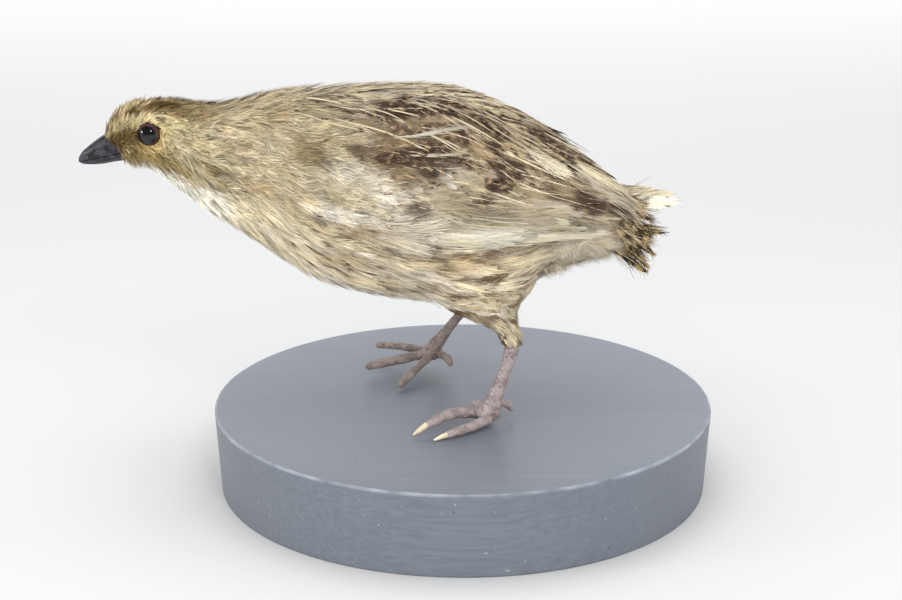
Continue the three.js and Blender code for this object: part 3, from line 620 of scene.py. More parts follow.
@dataclass
class Coat:
    """Feathers as one mesh in the making, with what the material reads."""

    points: Array
    faces: Array
    tint: Array
    lie: Array  # share of the length, share of the half width, millimetres between barbs
    dice: Array
    marks: Array  # dark, pale, bars
    uv: Array

    @staticmethod
    def joined(coats: list[Coat]) -> Coat:
        """Puts the arrays of several coats one behind the other."""
        starts = np.cumsum([0] + [len(coat.points) for coat in coats[:-1]])
        faces = np.vstack([coat.faces + start for coat, start in zip(coats, starts)])
        rest = {name: np.concatenate([getattr(coat, name) for coat in coats]) for name in ("points",
            "tint", "lie", "dice", "marks", "uv")}
        return Coat(faces=faces, **rest)


def strip_faces(strips: int, rows: int, columns: int) -> Array:
    """Quads of strips of rows by columns points, columns to the left."""
    row, column = np.meshgrid(np.arange(rows - 1), np.arange(columns - 1), indexing="ij")
    first = (row * columns + column).reshape(-1, 1)
    quad = first + np.array([0, columns, columns + 1, 1])
    starts = np.arange(strips)[:, None, None] * rows * columns
    return (starts + quad).reshape(-1, 4)


TUFT_PATCH = 0.003  # size of one feather on the unwrapped skin


class Plumes:
    """The feathers of one tract in the making, all of them at once.

    Axes of the arrays: feathers, both sides, strips, points along a strip, points across it.
    """

    def __init__(self, roots: Roots, cut: Cut, pattern: Pattern, rng: Rng) -> None:
        """Draws each feather's own curve, lift and random numbers.

        Args:
            roots: where the feathers grow.
            cut: their build.
            pattern: their marks.
            rng: the random draws.
        """
        self.roots, self.cut, self.pattern, self.rng = roots, cut, pattern, rng
        self.count = len(roots.along)
        fit = (self.count, 1, 1, 1, 1)
        self.length, self.width, self.depth = (value.reshape(fit) for value in (roots.length, roots.width,
            roots.depth))
        self.bend = rng.normal(0, cut.bend, fit) * self.length
        self.raised = roots.tip_lift.reshape(fit) + rng.uniform(-0.3, 1, fit) * cut.ruffle
        self.dice = rng.random((4,) + fit)
        self.parts: list[tuple[Array, ...]] = []
        self.faces: list[Array] = []
        self.each = 0

    def draw(self, low: float, high: float, number: int) -> Array:
        """A random number for each strip."""
        return self.rng.uniform(low, high, (self.count, 2, number, 1, 1))

    def climb(self, share: Array) -> Array:
        """Height over the form: up from the skin, then to the raised tip."""
        held = np.clip(share, 0, 1)
        return self.raised * held**2 - self.depth * (1 - held) ** self.cut.rise

    def keep(self, strips: int, *values: Array) -> None:
        """Keeps a part of the feathers: share, across, lift, spread, barb, glow and pale."""
        shape = np.broadcast_shapes(*[np.shape(value) for value in values])
        self.parts.append(tuple(np.broadcast_to(value, shape) for value in values))
        self.faces.append(strip_faces(strips, shape[3], shape[4]) + self.each)
        self.each += int(np.prod(shape[1:]))

    def hairs(self, number: int, rows: int = 4) -> None:
        """Adds loose barbs on both sides, ribbons that taper to a point.

        Formula: a barb leaves the shaft at its share of the length, ends a sweep further on
        within a leaf sin(pi*end^a)^b, and runs out as 1-(1-q)^c for q from 0 to 1.

        Args:
            number: barbs on each side.
            rows: points along a barb.
        """
        cut = self.cut
        side = np.array([-1.0, 1.0]).reshape(1, 2, 1, 1, 1)
        edge = np.array([-1.0, 1.0]).reshape(1, 1, 1, 1, 2)
        order = ((np.arange(number) + 0.5) / number).reshape(1, 1, -1, 1, 1)
        q = np.linspace(0, 1, rows).reshape(1, 1, 1, -1, 1)
        base = cut.bare + (cut.crown - cut.bare) * order + self.draw(-0.5, 0.5, number) / number
        base = np.clip(base, 0, 0.97)
        far = cut.sweep * (1 - base) ** 0.6 * self.draw(1 - cut.fray, 1 + cut.fray, number)
        end = np.clip(base + far, 0, 1.06)
        leaf = np.maximum(np.sin(np.pi * np.clip(end, 0, 0.985) ** cut.leaf[0]), 0) ** cut.leaf[1]
        leaf = leaf * self.draw(0.25, 1, number) * cut.reach
        share = base + (end - base) * q
        spread = side * leaf * (1 - (1 - q) ** cut.curve)
        run = self.length * (end - base)
        out = side * leaf * self.width / 2 * cut.curve * (1 - q + 0.02) ** (cut.curve - 1)
        norm = np.hypot(run, out) + 1e-6
        half = cut.thread / 2 * (1 - 0.8 * q) * self.draw(0.6, 1.3, number)
        curl = self.draw(-1, 1, number) * cut.stray * self.length * q**2 * 0.5
        across = spread * self.width / 2 + curl + self.bend * share**2 + half * edge * run / norm
        along = share - half * edge * out / norm / self.length
        lift = self.climb(share) + 0.06 - cut.arch * self.width / 2 * spread**2
        lift = lift + self.draw(-0.2, 1, number) * q**2 * cut.ruffle
        lift = lift + self.draw(-1, 1, number) * cut.jitter * (0.4 + q)
        barb = self.length * base + cut.thread * edge
        glow = self.draw(*cut.tones, number) + 0 * q
        self.keep(2 * number, along, across, lift, spread, barb, glow, 0 * q)

    def web(self, number: int, columns: int) -> None:
        """Adds the closed web, a sheet whose cross lines are barbs.

        Formula: both halves of a line run out from the shaft as a loose barb does, and the
        sheet joins each line to the next.

        Args:
            number: cross lines.
            columns: points along a line.
        """
        cut = self.cut
        q = np.linspace(-1, 1, columns).reshape(1, 1, 1, 1, -1)
        out = np.abs(q)

        def each(low: float, high: float) -> Array:
            pair = self.rng.uniform(low, high, (2, self.count, 1, 1, number, 1))
            return np.where(q < 0, pair[0], pair[1])

        base = cut.bare + (0.97 - cut.bare) * np.linspace(0, 1, number).reshape(1, 1, 1, -1, 1)
        far = cut.sweep * (1 - base) ** 0.6 * each(1 - cut.fray, 1 + cut.fray)
        end = np.clip(base + far, 0, 1.02)
        leaf = np.maximum(np.sin(np.pi * np.clip(end, 0, 0.995) ** cut.leaf[0]), 0) ** cut.leaf[1]
        leaf = leaf * each(1 - cut.fray, 1) * cut.core
        share = base + (end - base) * out
        spread = np.sign(q) * leaf * (1 - (1 - out) ** cut.curve)
        lift = self.climb(share) - cut.arch * self.width / 2 * spread**2
        lift = lift + each(-1, 1) * cut.jitter * out
        across = spread * self.width / 2 + self.bend * share**2
        glow = each(1 - cut.streaks, 1 + cut.streaks)
        self.keep(1, share, across, lift, spread, self.length * base, glow, 0 * q)

    def quills(self, rows: int = 8) -> None:
        """Adds the shaft, a low tapering ridge, pale on most feathers.

        Args:
            rows: points along the shaft.
        """
        s = np.linspace(0.03, 0.95, rows).reshape(1, 1, 1, -1, 1)
        beside = np.array([-1.0, 0, 1]).reshape(1, 1, 1, 1, 3)
        thick = self.cut.shaft / 2 * (1 - 0.85 * s**1.5) * (0.5 + 0.8 * self.dice[1])
        lift = self.climb(s) + 0.08 + 0.8 * thick * (1 - np.abs(beside))
        shown = self.cut.shaft_pale * (self.dice[3] < 0.7) * soft((s - 0.03) / 0.15)
        wave = 0.012 * self.length * np.sin(7 * s + 9 * self.dice[0])
        across = thick * beside + self.bend * s**2 + wave
        self.keep(1, s, across, lift, 0 * s, 40 * s, 1 + 0 * s, shown)

    def coat(self, contrast: float, tint: Array | None) -> Coat:
        """Builds the parts and works out the points, colours and marks.

        Args:
            contrast: strength of a feather's own marks.
            tint: a linear colour for each feather, or None for those of its place.
        Returns:
            The feathers as one mesh in the making.
        """
        if self.cut.web:
            self.web(self.cut.web, self.cut.columns)
        if self.cut.strands:
            self.hairs(self.cut.strands)
        if self.cut.shaft > 0:
            self.quills()
        share, across, lift, spread, barb, glow, pale = (np.concatenate([part[k].reshape(self.count,
            -1) for part in self.parts], axis=1) for k in range(7))
        points = self.roots.place(share, across, lift)
        if tint is None:
            first, last = (MARKINGS.at(*self.roots.body_places(part)) for part in (0.25, 0.9))
        else:
            first = last = tint
        blend = soft((share - 0.2) / 0.8)[..., None]
        own = np.clip(1 + 0.13 * self.rng.normal(0, 1, (self.count, 1, 1)), 0.7, 1.3)
        own = own * np.exp(self.rng.normal(0, 1, (self.count, 1, 1)) * [0.02, 0, -0.06])
        shade = (first[:, None] * (1 - blend) + last[:, None] * blend) * own * glow[..., None]
        dice = self.dice.reshape(4, self.count, 1)
        dark, bars = marks(self.pattern, share, spread, dice)
        dark = dark * contrast
        if tint is None:
            dark = np.maximum(dark, MARKINGS.dark(*self.roots.spots(share, across)))
        masks = np.stack([dark, pale, bars + 0 * share], axis=-1)
        uv = self.roots.patch_places()[:, None]
        uv = uv + np.stack([share - 0.5, np.clip(spread, -1, 1) / 2], axis=-1) * TUFT_PATCH
        faces = np.arange(self.count)[:, None, None] * self.each + np.vstack(self.faces)
        own_dice = np.moveaxis(dice[:3], 0, -1) + 0 * share[..., None]
        return Coat(points=points.reshape(-1, 3), faces=faces.reshape(-1, 4), tint=shade.reshape(-1, 3),
            lie=np.stack([share, spread, barb], axis=-1).reshape(-1, 3), dice=own_dice.reshape(-1, 3),
            marks=np.clip(masks, 0, 1).reshape(-1, 3), uv=np.clip(uv, 0, 1).reshape(-1, 2))


def grow(roots: Roots, cut: Cut, pattern: Pattern, rng: Rng, contrast: float = 1.0,
        tint: Array | None = None) -> Coat:
    """Grows a tract's feathers. Returns them as one mesh in the making."""
    return Plumes(roots, cut, pattern, rng).coat(contrast, tint)


@dataclass(frozen=True)
class Tract:
    """An area of the coat with one kind of feathers, set in rows."""

    form: Form
    along: Pair
    turn: Pair
    spacing: Pair  # between rows and in a row, mm
    length: Pair  # at the first row and at the last
    width: float  # as a share of the length
    depth: float
    cut: Cut
    pattern: Pattern = PLAIN
    heading: float | Callable[[Array, Array], Array] = 0.0  # degrees down from straight back
    stray: float = 8.0  # random turn of a feather, degrees
    tip_lift: float | Callable[[Array, Array], Array] = 0.0
    contrast: float = 1.0
    sway: float = 16.0  # degrees by which whole groups of feathers turn

    def roots(self, side: int, rng: Rng) -> Roots:
        """Sets roots in staggered rows, evenly by arc length around the form.

        Args:
            side: -1 for the bird's left, 1 for its right.
            rng: the random draws.
        Returns:
            The roots.
        """
        step, gap = self.spacing
        start, stop = self.along
        turns = np.linspace(*self.turn, 91)
        sign = 1 if isinstance(self.form, Thigh) else -side
        rows_along, rows_turn = [], []
        for number, at in enumerate(np.arange(start, stop, step)):
            ring = self.form.point(np.full(turns.shape, at), sign * turns, 0.0)
            arc = np.concatenate([[0], np.cumsum(np.linalg.norm(np.diff(ring, axis=0), axis=1))])
            places = np.arange((0.25 + 0.5 * (number % 2)) * gap, arc[-1], gap)
            places = places + rng.uniform(-0.3, 0.3, places.shape) * gap
            rows_turn.append(np.interp(places, arc, turns))
            rows_along.append(at + rng.uniform(-0.4, 0.4, places.shape) * step)
        along, turn = np.concatenate(rows_along), sign * np.concatenate(rows_turn)
        share = (along - start) / (stop - start)
        length = (self.length[0] + (self.length[1] - self.length[0]) * share) * rng.uniform(0.82, 1.18,
            along.shape)
        lean = self.heading(along, sign * turn) if callable(self.heading) else self.heading
        drift = self.sway * MARKINGS.noise(along / 11, turn / 24, 8.5)
        heading = np.radians(lean + drift + rng.normal(0, self.stray, along.shape)) * sign
        per_along, per_turn = self.form.scales(along, turn)
        to_along = length * np.cos(heading) / np.maximum(per_along, 0.9)
        to_turn = length * np.sin(heading) / per_turn
        lift = self.tip_lift
        if callable(lift):
            lift = lift(along + to_along, np.abs(turn + to_turn))
        width = length * self.width * rng.uniform(0.85, 1.15, along.shape)
        return spread_roots(self.form, along, turn, to_along, to_turn, length, width, self.depth, lift)

    def grown(self, roots: Roots, rng: Rng) -> Coat:
        """Grows feathers on the roots."""
        return grow(roots, self.cut, self.pattern, rng, self.contrast)


@dataclass(frozen=True)
class Tier:
    """A row of large vanes, from its outermost one to its innermost one."""

    form: Form
    count: int
    roots: tuple[Pair, Pair]  # x and turn of the first and the last
    tips: tuple[Pair, Pair]
    width: float
    over: float  # height of the vanes over the form
    spread: float  # what the tips add to that
    cut: Cut
    pattern: Pattern
    contrast: float = 1.0
    stray: Pair = (0.9, 0.8)

    def grown(self, side: int, rng: Rng) -> Roots:
        """Sets the vanes in even steps, each a little astray.

        Args:
            side: -1 for the bird's left, 1 for its right.
            rng: the random draws.
        Returns:
            The vanes' roots.
        """
        share = np.linspace(0, 1, self.count)[:, None]
        (root_a, root_b), (tip_a, tip_b) = np.array(self.roots), np.array(self.tips)
        root = root_a + (root_b - root_a) * share
        tip = tip_a + (tip_b - tip_a) * share + rng.uniform(-1, 1, root.shape) * self.stray
        root[:, 1] *= -side
        tip[:, 1] *= -side
        span = self.form.point(tip[:, 0], tip[:, 1], 0.0) - self.form.point(root[:, 0], root[:, 1], 0.0)
        length = np.linalg.norm(span, axis=1)
        height = 1.2 - self.over, self.over + self.spread
        return spread_roots(self.form, *root.T, *(tip - root).T, length, self.width, *height)


def finish_mesh(name: str, points: Array, faces: list[Array], material: Material, numbers: dict[str,
        Array] | None = None, tint: Array | None = None, uv: Array | None = None,
        nodes: tuple[str, ...] = ()) -> bpy.types.Object:
    """Puts arrays into a mesh and its object on the frame.

    Args:
        name: the piece's name.
        points: millimetres.
        faces: arrays of quads or triangles.
        material: its finish.
        numbers: values or vectors of the points, by attribute name.
        tint: linear colours of the points, as the attribute plumage.
        uv: the points' places on the unwrapped skin.
        nodes: the CAD nodes that it stands for.
    Returns:
        The object.
    """
    mesh = bpy.data.meshes.new(name)
    mesh.from_pydata(points * MM, [], [face for group in faces for face in group.tolist()])
    mesh.shade_smooth()
    for key, values in (numbers or {}).items():
        kind, field = ("FLOAT", "value") if values.ndim == 1 else ("FLOAT_VECTOR", "vector")
        layer = mesh.attributes.new(key, kind, "POINT")
        layer.data.foreach_set(field, values.astype(np.float32).ravel())
    if tint is not None:
        full = np.concatenate([tint, np.ones((len(tint), 1))], axis=1).astype(np.float32)
        mesh.attributes.new("plumage", "FLOAT_COLOR", "POINT").data.foreach_set("color", full.ravel())
    if uv is not None:
        corners = uv[np.concatenate([group.ravel() for group in faces])]
        mesh.uv_layers.new(name="OFBake").data.foreach_set("uv", corners.astype(np.float32).ravel())
    mesh.validate()
    mesh.materials.append(material)
    made = bpy.data.objects.new(name, mesh)
    bpy.context.scene.collection.objects.link(made)
    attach(made, "root")
    if nodes:
        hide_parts(*nodes)
    LOG.info("%s: %d points, %d faces", name, len(points), len(mesh.polygons))
    return made


def grid_faces(rows: int, columns: int, start: int = 0, closed: bool = True) -> Array:
    """Quads of a grid of points whose columns close where that is set."""
    row, column = np.meshgrid(np.arange(rows - 1), np.arange(columns if closed else columns - 1),
        indexing="ij")
    ahead = (column + 1) % columns
    quads = [row * columns + column, row * columns + ahead]
    quads += [(row + 1) * columns + ahead, (row + 1) * columns + column]
    return start + np.stack([quad.ravel() for quad in quads], axis=1)


def ball_grid(rows: int, columns: int) -> list[Array]:
    """Angles of a ball's points, from a pole and around, without poles."""
    around = np.linspace(0, 2 * np.pi, columns, endpoint=False)
    return np.meshgrid(np.linspace(0, np.pi, rows)[1:-1], around, indexing="ij")


def closed_tube(rings: Array, start: int = 0, inward: bool = False) -> tuple[Array, list[Array]]:
    """A closed surface through rings, with a fan at each end.

    Args:
        rings: rows by columns by three.
        start: number of points that come before in the mesh.
        inward: whether the faces have to be flipped.
    Returns:
        Its points and its faces.
    """
    rows, columns = rings.shape[:2]
    points = np.vstack([rings.reshape(-1, 3), rings[0].mean(0), rings[-1].mean(0)])
    step = np.arange(columns)
    ahead = (step + 1) % columns
    last = (rows - 1) * columns
    first_fan = np.stack([np.full(columns, rows * columns), ahead, step], axis=1)
    last_fan = np.stack([np.full(columns, rows * columns + 1), last + step, last + ahead], axis=1)
    faces = [grid_faces(rows, columns) + start, first_fan + start, last_fan + start]
    return points, [face[:, ::-1] for face in faces] if inward else faces


class Value:
    """A socket of numbers that can be reckoned with."""

    def __init__(self, graph: Graph, socket: Socket) -> None:
        """Keeps the socket and the graph that it is in."""
        self.graph, self.socket = graph, socket

    def _math(self, operation: str, *terms: Any) -> Value:
        """Adds a Math node."""
        inputs = dict(enumerate(terms))
        node = self.graph.node("ShaderNodeMath", {"operation": operation}, inputs)
        return Value(self.graph, node.outputs[0])

    def __add__(self, other: Any) -> Value:
        """self + other."""
        return self._math("ADD", self, other)

    __radd__ = __add__

    def __sub__(self, other: Any) -> Value:
        """self - other."""
        return self._math("SUBTRACT", self, other)

    def __rsub__(self, other: Any) -> Value:
        """other - self."""
        return self._math("SUBTRACT", other, self)

    def __mul__(self, other: Any) -> Value:
        """self * other."""
        return self._math("MULTIPLY", self, other)

    __rmul__ = __mul__

    def sine(self) -> Value:
        """The sine of a number of radians."""
        return self._math("SINE", self)

    def above(self, low: float, high: float) -> Value:
        """0 at low, 1 at high, eased between them."""
        settings = {"interpolation_type": "SMOOTHSTEP"}
        node = self.graph.node("ShaderNodeMapRange", settings, {"Value": self, "From Min": low,
            "From Max": high})
        return Value(self.graph, node.outputs[0])


class Nodes:
    """A tree of shader nodes."""

    def __init__(self, tree: bpy.types.NodeTree) -> None:
        """Keeps the tree."""
        self.tree = tree

    def connect(self, socket: Socket, value: Any) -> None:
        """Links a socket, or sets its own value.

        Args:
            socket: the input.
            value: another socket, a number or a colour.
        """
        value = value.socket if isinstance(value, Value) else value
        if isinstance(value, Socket):
            self.tree.links.new(value, socket)
        elif isinstance(value, (np.ndarray, tuple)) and socket.type == "RGBA":
            socket.default_value = (*[float(part) for part in value], 1.0)
        else:
            socket.default_value = value

    def node(self, kind: str, settings: dict[str, Any], inputs: dict[Any, Any]) -> bpy.types.Node:
        """Adds a node.

        Args:
            kind: its type.
            settings: what is set on the node itself.
            inputs: its sockets' values or links, by name or number.
        Returns:
            The node.
        """
        made = self.tree.nodes.new(kind)
        for key, value in settings.items():
            setattr(made, key, value)
        for key, value in inputs.items():
            self.connect(made.inputs[key], value)
        return made


class Graph(Nodes):
    """A material's nodes, with a Principled shader at their end."""

    def __init__(self, name: str) -> None:
        """Starts a material with its shader and output.

        Args:
            name: the material's name.
        """
        self.material = bpy.data.materials.new(name)
        self.material.use_nodes = True
        super().__init__(self.material.node_tree)
        self.tree.nodes.clear()
        self.shader = self.node("ShaderNodeBsdfPrincipled", {}, {})
        self.node("ShaderNodeOutputMaterial", {}, {0: self.shader.outputs[0]})
        self.place = self.node("ShaderNodeTexCoord", {}, {}).outputs["Object"]

    def attribute(self, name: str, output: str) -> Socket:
        """The mesh's own values of that name, as "Fac", "Color" or "Vector"."""
        return self.node("ShaderNodeAttribute", {"attribute_name": name}, {}).outputs[output]

    def split(self, vector: Socket) -> list[Value]:
        """The three parts of a vector."""
        outputs = self.node("ShaderNodeSeparateXYZ", {}, {0: vector}).outputs
        return [Value(self, outputs[k]) for k in range(3)]

    def vector(self, x: Any, y: Any, z: Any) -> Socket:
        """A vector of three numbers."""
        return self.node("ShaderNodeCombineXYZ", {}, {0: x, 1: y, 2: z}).outputs[0]

    def stretched(self, x: float, y: float, z: float) -> Socket:
        """Object coordinates multiplied along each axis."""
        settings = {"operation": "MULTIPLY"}
        made = self.node("ShaderNodeVectorMath", settings, {0: self.place, 1: (x, y, z)})
        return made.outputs[0]

    def noise(self, scale: float, detail: float = 3, at: Any = None, rough: float = 0.5) -> Value:
        """Noise from 0 to 1."""
        inputs = {"Vector": at or self.place, "Scale": scale, "Detail": detail, "Roughness": rough}
        return Value(self, self.node("ShaderNodeTexNoise", {}, inputs).outputs[0])

    def cells(self, scale: float, at: Any = None, feature: str = "DISTANCE_TO_EDGE") -> Value:
        """Distance to the edge, or to the middle, of random cells."""
        inputs = {"Vector": at or self.place, "Scale": scale}
        return Value(self, self.node("ShaderNodeTexVoronoi", {"feature": feature}, inputs).outputs[0])

    def mix(self, factor: Any, first: Any, second: Any) -> Socket:
        """A colour between two."""
        settings = {"data_type": "RGBA"}
        return self.node("ShaderNodeMix", settings, {0: factor, 6: first, 7: second}).outputs[2]

    def layered(self, tone: Any, *layers: tuple[Any, Triple]) -> Socket:
        """A colour with others laid over it, each by its own factor."""
        for factor, over in layers:
            tone = self.mix(factor, tone, colour(*over))
        return tone

    def shaded(self, tone: Any, factor: Value) -> Socket:
        """A colour multiplied by a number."""
        settings = {"operation": "SCALE"}
        return self.node("ShaderNodeVectorMath", settings, {0: tone, "Scale": factor}).outputs[0]

    def bump(self, height: Value, distance: float, strength: float = 1.0) -> Socket:
        """A normal that follows a height, of distance metres for 1."""
        inputs = {"Height": height, "Distance": distance, "Strength": strength}
        return self.node("ShaderNodeBump", {}, inputs).outputs[0]

    def finish(self, **sockets: Any) -> Material:
        """Sets the shader's sockets, named with underscores. Returns the material."""
        for key, value in sockets.items():
            self.connect(self.shader.inputs[key.replace("_", " ")], value)
        return self.material


@dataclass(frozen=True)
class PlumageFinish:
    """Matt feathers: fine barbs, frayed dark marks, buff bars, pale shafts, and painted shade between the
    barbs and towards the roots.
    """

    name: str
    dark: Triple = (122, 98, 68)
    buff: Triple = (200, 178, 138)
    pale: Triple = (226, 211, 184)
    gain: float = 1.22
    depth: float = 0.5  # painted shade: how much darker it is between barbs
    bars: float = 4.5  # bars on a feather
    root: float = 0.75  # brightness at the roots, darker there partly for grey down and partly as painted shade deep in the coat
    lines: float = 2.6  # visible lines in a millimetre

    def material(self) -> Material:
        """Noise drawn out along the barbs sets colour, height and frayed edges, and darkens the gaps
        between barbs and the roots as painted shade.
        """
        graph = Graph(self.name)
        vectors = [graph.split(graph.attribute(name, "Vector")) for name in ("lie", "dice", "marks")]
        (share, spread, barb), (first, second, third), (dark, pale, bars) = vectors
        weave = graph.vector(barb * self.lines, spread * 1.1, first * 90)
        fine = graph.noise(1.0, 3, weave, 0.6)
        coarse = graph.noise(1.0, 2, graph.vector(barb * 1.3, spread * 1.6, second * 70))
        phase = share * self.bars * (0.7 + 0.6 * second) + third * 3 + 0.5 * coarse
        wave = (phase * (2 * math.pi) + 1.5 * (spread * 4 + first * 6).sine()).sine()
        bar = wave.above(0.1, 0.9) * bars * coarse.above(0.35, 0.6)
        blotch = (dark + 0.5 * fine + 0.4 * coarse - 0.45).above(0.2, 0.95) * dark.above(0.0, 0.35)
        shaft = pale * (0.65 + 0.5 * fine), self.pale
        plain = graph.attribute("plumage", "Color")
        tone = graph.layered(plain, (blotch, self.dark), (bar * 0.75, self.buff), shaft)
        # painted shade between the barbs, where the fine noise is low
        level = self.gain * (1 - self.depth * (1 - fine.above(0.25, 0.62)) * 0.7 + 0.16 * (coarse - 0.5))
        # darker towards the roots: partly grey down, partly painted shade deep in the coat
        root = self.root + (1 - self.root) * share.above(0.0, 0.5)
        return graph.finish(Base_Color=graph.shaded(tone, level * root), Roughness=0.68 + 0.25 * fine,
            Normal=graph.bump(fine, 0.00009, 0.8), Specular_IOR_Level=0.12)


@dataclass(frozen=True)
class HornFinish:
    """Satin horn with fine scratches and lighter patches, partly wear and partly painted highlights, for
    the bill and the claws.
    """

    name: str
    tone: Triple
    light: Triple
    roughness: float

    def material(self) -> Material:
        """Streaks along the bill, and scratches where a stretched noise is highest; these and cloudy
        patches take a lighter colour that is partly wear and partly painted highlights.
        """
        graph = Graph(self.name)
        streak = graph.noise(260, 4, graph.stretched(0.35, 1, 1))
        scratch = graph.noise(700, 2, graph.stretched(0.25, 1, 0.6)).above(0.62, 0.7)
        cloud = graph.noise(420, 3).above(0.44, 0.62)
        # lighter horn in scratches and patches: partly wear, partly painted highlights
        wear_and_sheen = scratch * 0.8 + cloud * 0.5 + streak * 0.2
        return graph.finish(Base_Color=graph.layered(colour(*self.tone), (wear_and_sheen, self.light)),
            Roughness=self.roughness + 0.25 * cloud - 0.1 * scratch,
            Normal=graph.bump(streak + 0.6 * scratch, 0.00006), Specular_IOR_Level=0.45)


@dataclass(frozen=True)
class LegFinish:
    """Dried scaly skin, mottled, with dark specks, and darker in the grooves between the scales."""

    name: str
    tone: Triple
    light: Triple
    speck_and_groove_tone: Triple

    def material(self) -> Material:
        """Colour mixed by noise, and darkened in the mesh's grooves."""
        graph = Graph(self.name)
        mottle = graph.noise(330, 4).above(0.35, 0.65)
        speck = graph.noise(1100, 2).above(0.58, 0.68)
        scale_edge = graph.cells(1500).above(0.0, 0.12)
        groove = Value(graph, graph.attribute("groove", "Fac"))
        # one colour laid in as specks and where the groove attribute is high, darker in the grooves
        speck_and_groove_tone = (speck * 0.55, self.speck_and_groove_tone), (groove * 0.8, self.speck_and_groove_tone)
        tone = graph.layered(colour(*self.tone), (mottle, self.light), *speck_and_groove_tone)
        return graph.finish(Base_Color=tone, Roughness=0.62 + 0.2 * speck,
            Normal=graph.bump(scale_edge + 0.5 * mottle, 0.00009), Specular_IOR_Level=0.35)


@dataclass(frozen=True)
class EyeFinish:
    """A glass eye: black pupil and maroon-brown iris under a clear coat."""

    pupil: float = 0.72  # radius as a share of the ball's
    rim: float = 0.9

    def material(self) -> Material:
        """The colour follows the mesh's own distance from the eye's axis."""
        graph = Graph("glass_eye")
        out = Value(graph, graph.attribute("out", "Fac"))
        grain = graph.noise(900, 3)
        iris = graph.layered(colour(46, 25, 24), (grain, (74, 44, 42)))
        tone = graph.mix(out.above(self.pupil - 0.06, self.pupil + 0.06), colour(8, 8, 10), iris)
        tone = graph.layered(tone, (out.above(self.rim - 0.08, self.rim), (20, 12, 10)))
        return graph.finish(Base_Color=tone, Roughness=0.4 + 0.05 * grain, Specular_IOR_Level=0.05,
            Coat_Weight=1.0, Coat_Roughness=0.02, Coat_IOR=1.5)


@dataclass(frozen=True)
class PaintFinish:
    """Blue-grey brushed paint: streaks along X, worn rim, a few specks."""

    radius: float
    height: float

    def material(self) -> Material:
        """Streaks are noise stretched along X; radius and height keep the worn paint to the rim."""
        graph = Graph("painted_wood")
        streak = graph.noise(1.0, 4, graph.stretched(22, 900, 900), 0.6)
        broad = graph.noise(1.0, 3, graph.stretched(9, 60, 60))
        x, y, z = graph.split(graph.place)
        reach = (x * x + y * y) * (1 / self.radius**2)
        rim = reach.above(0.977, 0.992) * z.above(self.height - 0.0011, self.height - 0.0004)
        worn = rim * graph.noise(120, 4).above(0.25, 0.75)
        speck = graph.noise(900, 1).above(0.76, 0.79)
        dent = graph.noise(520, 1).above(0.77, 0.8)
        brushed = streak.above(0.3, 0.7) * 0.75 + broad * 0.25
        layers = ((brushed, (101, 106, 113)), (broad.above(0.45, 0.8) * 0.35, (85, 92, 101)), (worn * 0.4,
            (178, 182, 188)), (speck * 0.45, (176, 180, 186)), (dent * 0.5, (70, 74, 80)))
        tone = graph.layered(colour(88, 93, 101), *layers)
        return graph.finish(Base_Color=tone, Roughness=0.36 + 0.16 * streak,
            Normal=graph.bump(streak - 1.5 * dent + 0.4 * broad, 0.00009), Specular_IOR_Level=0.5)


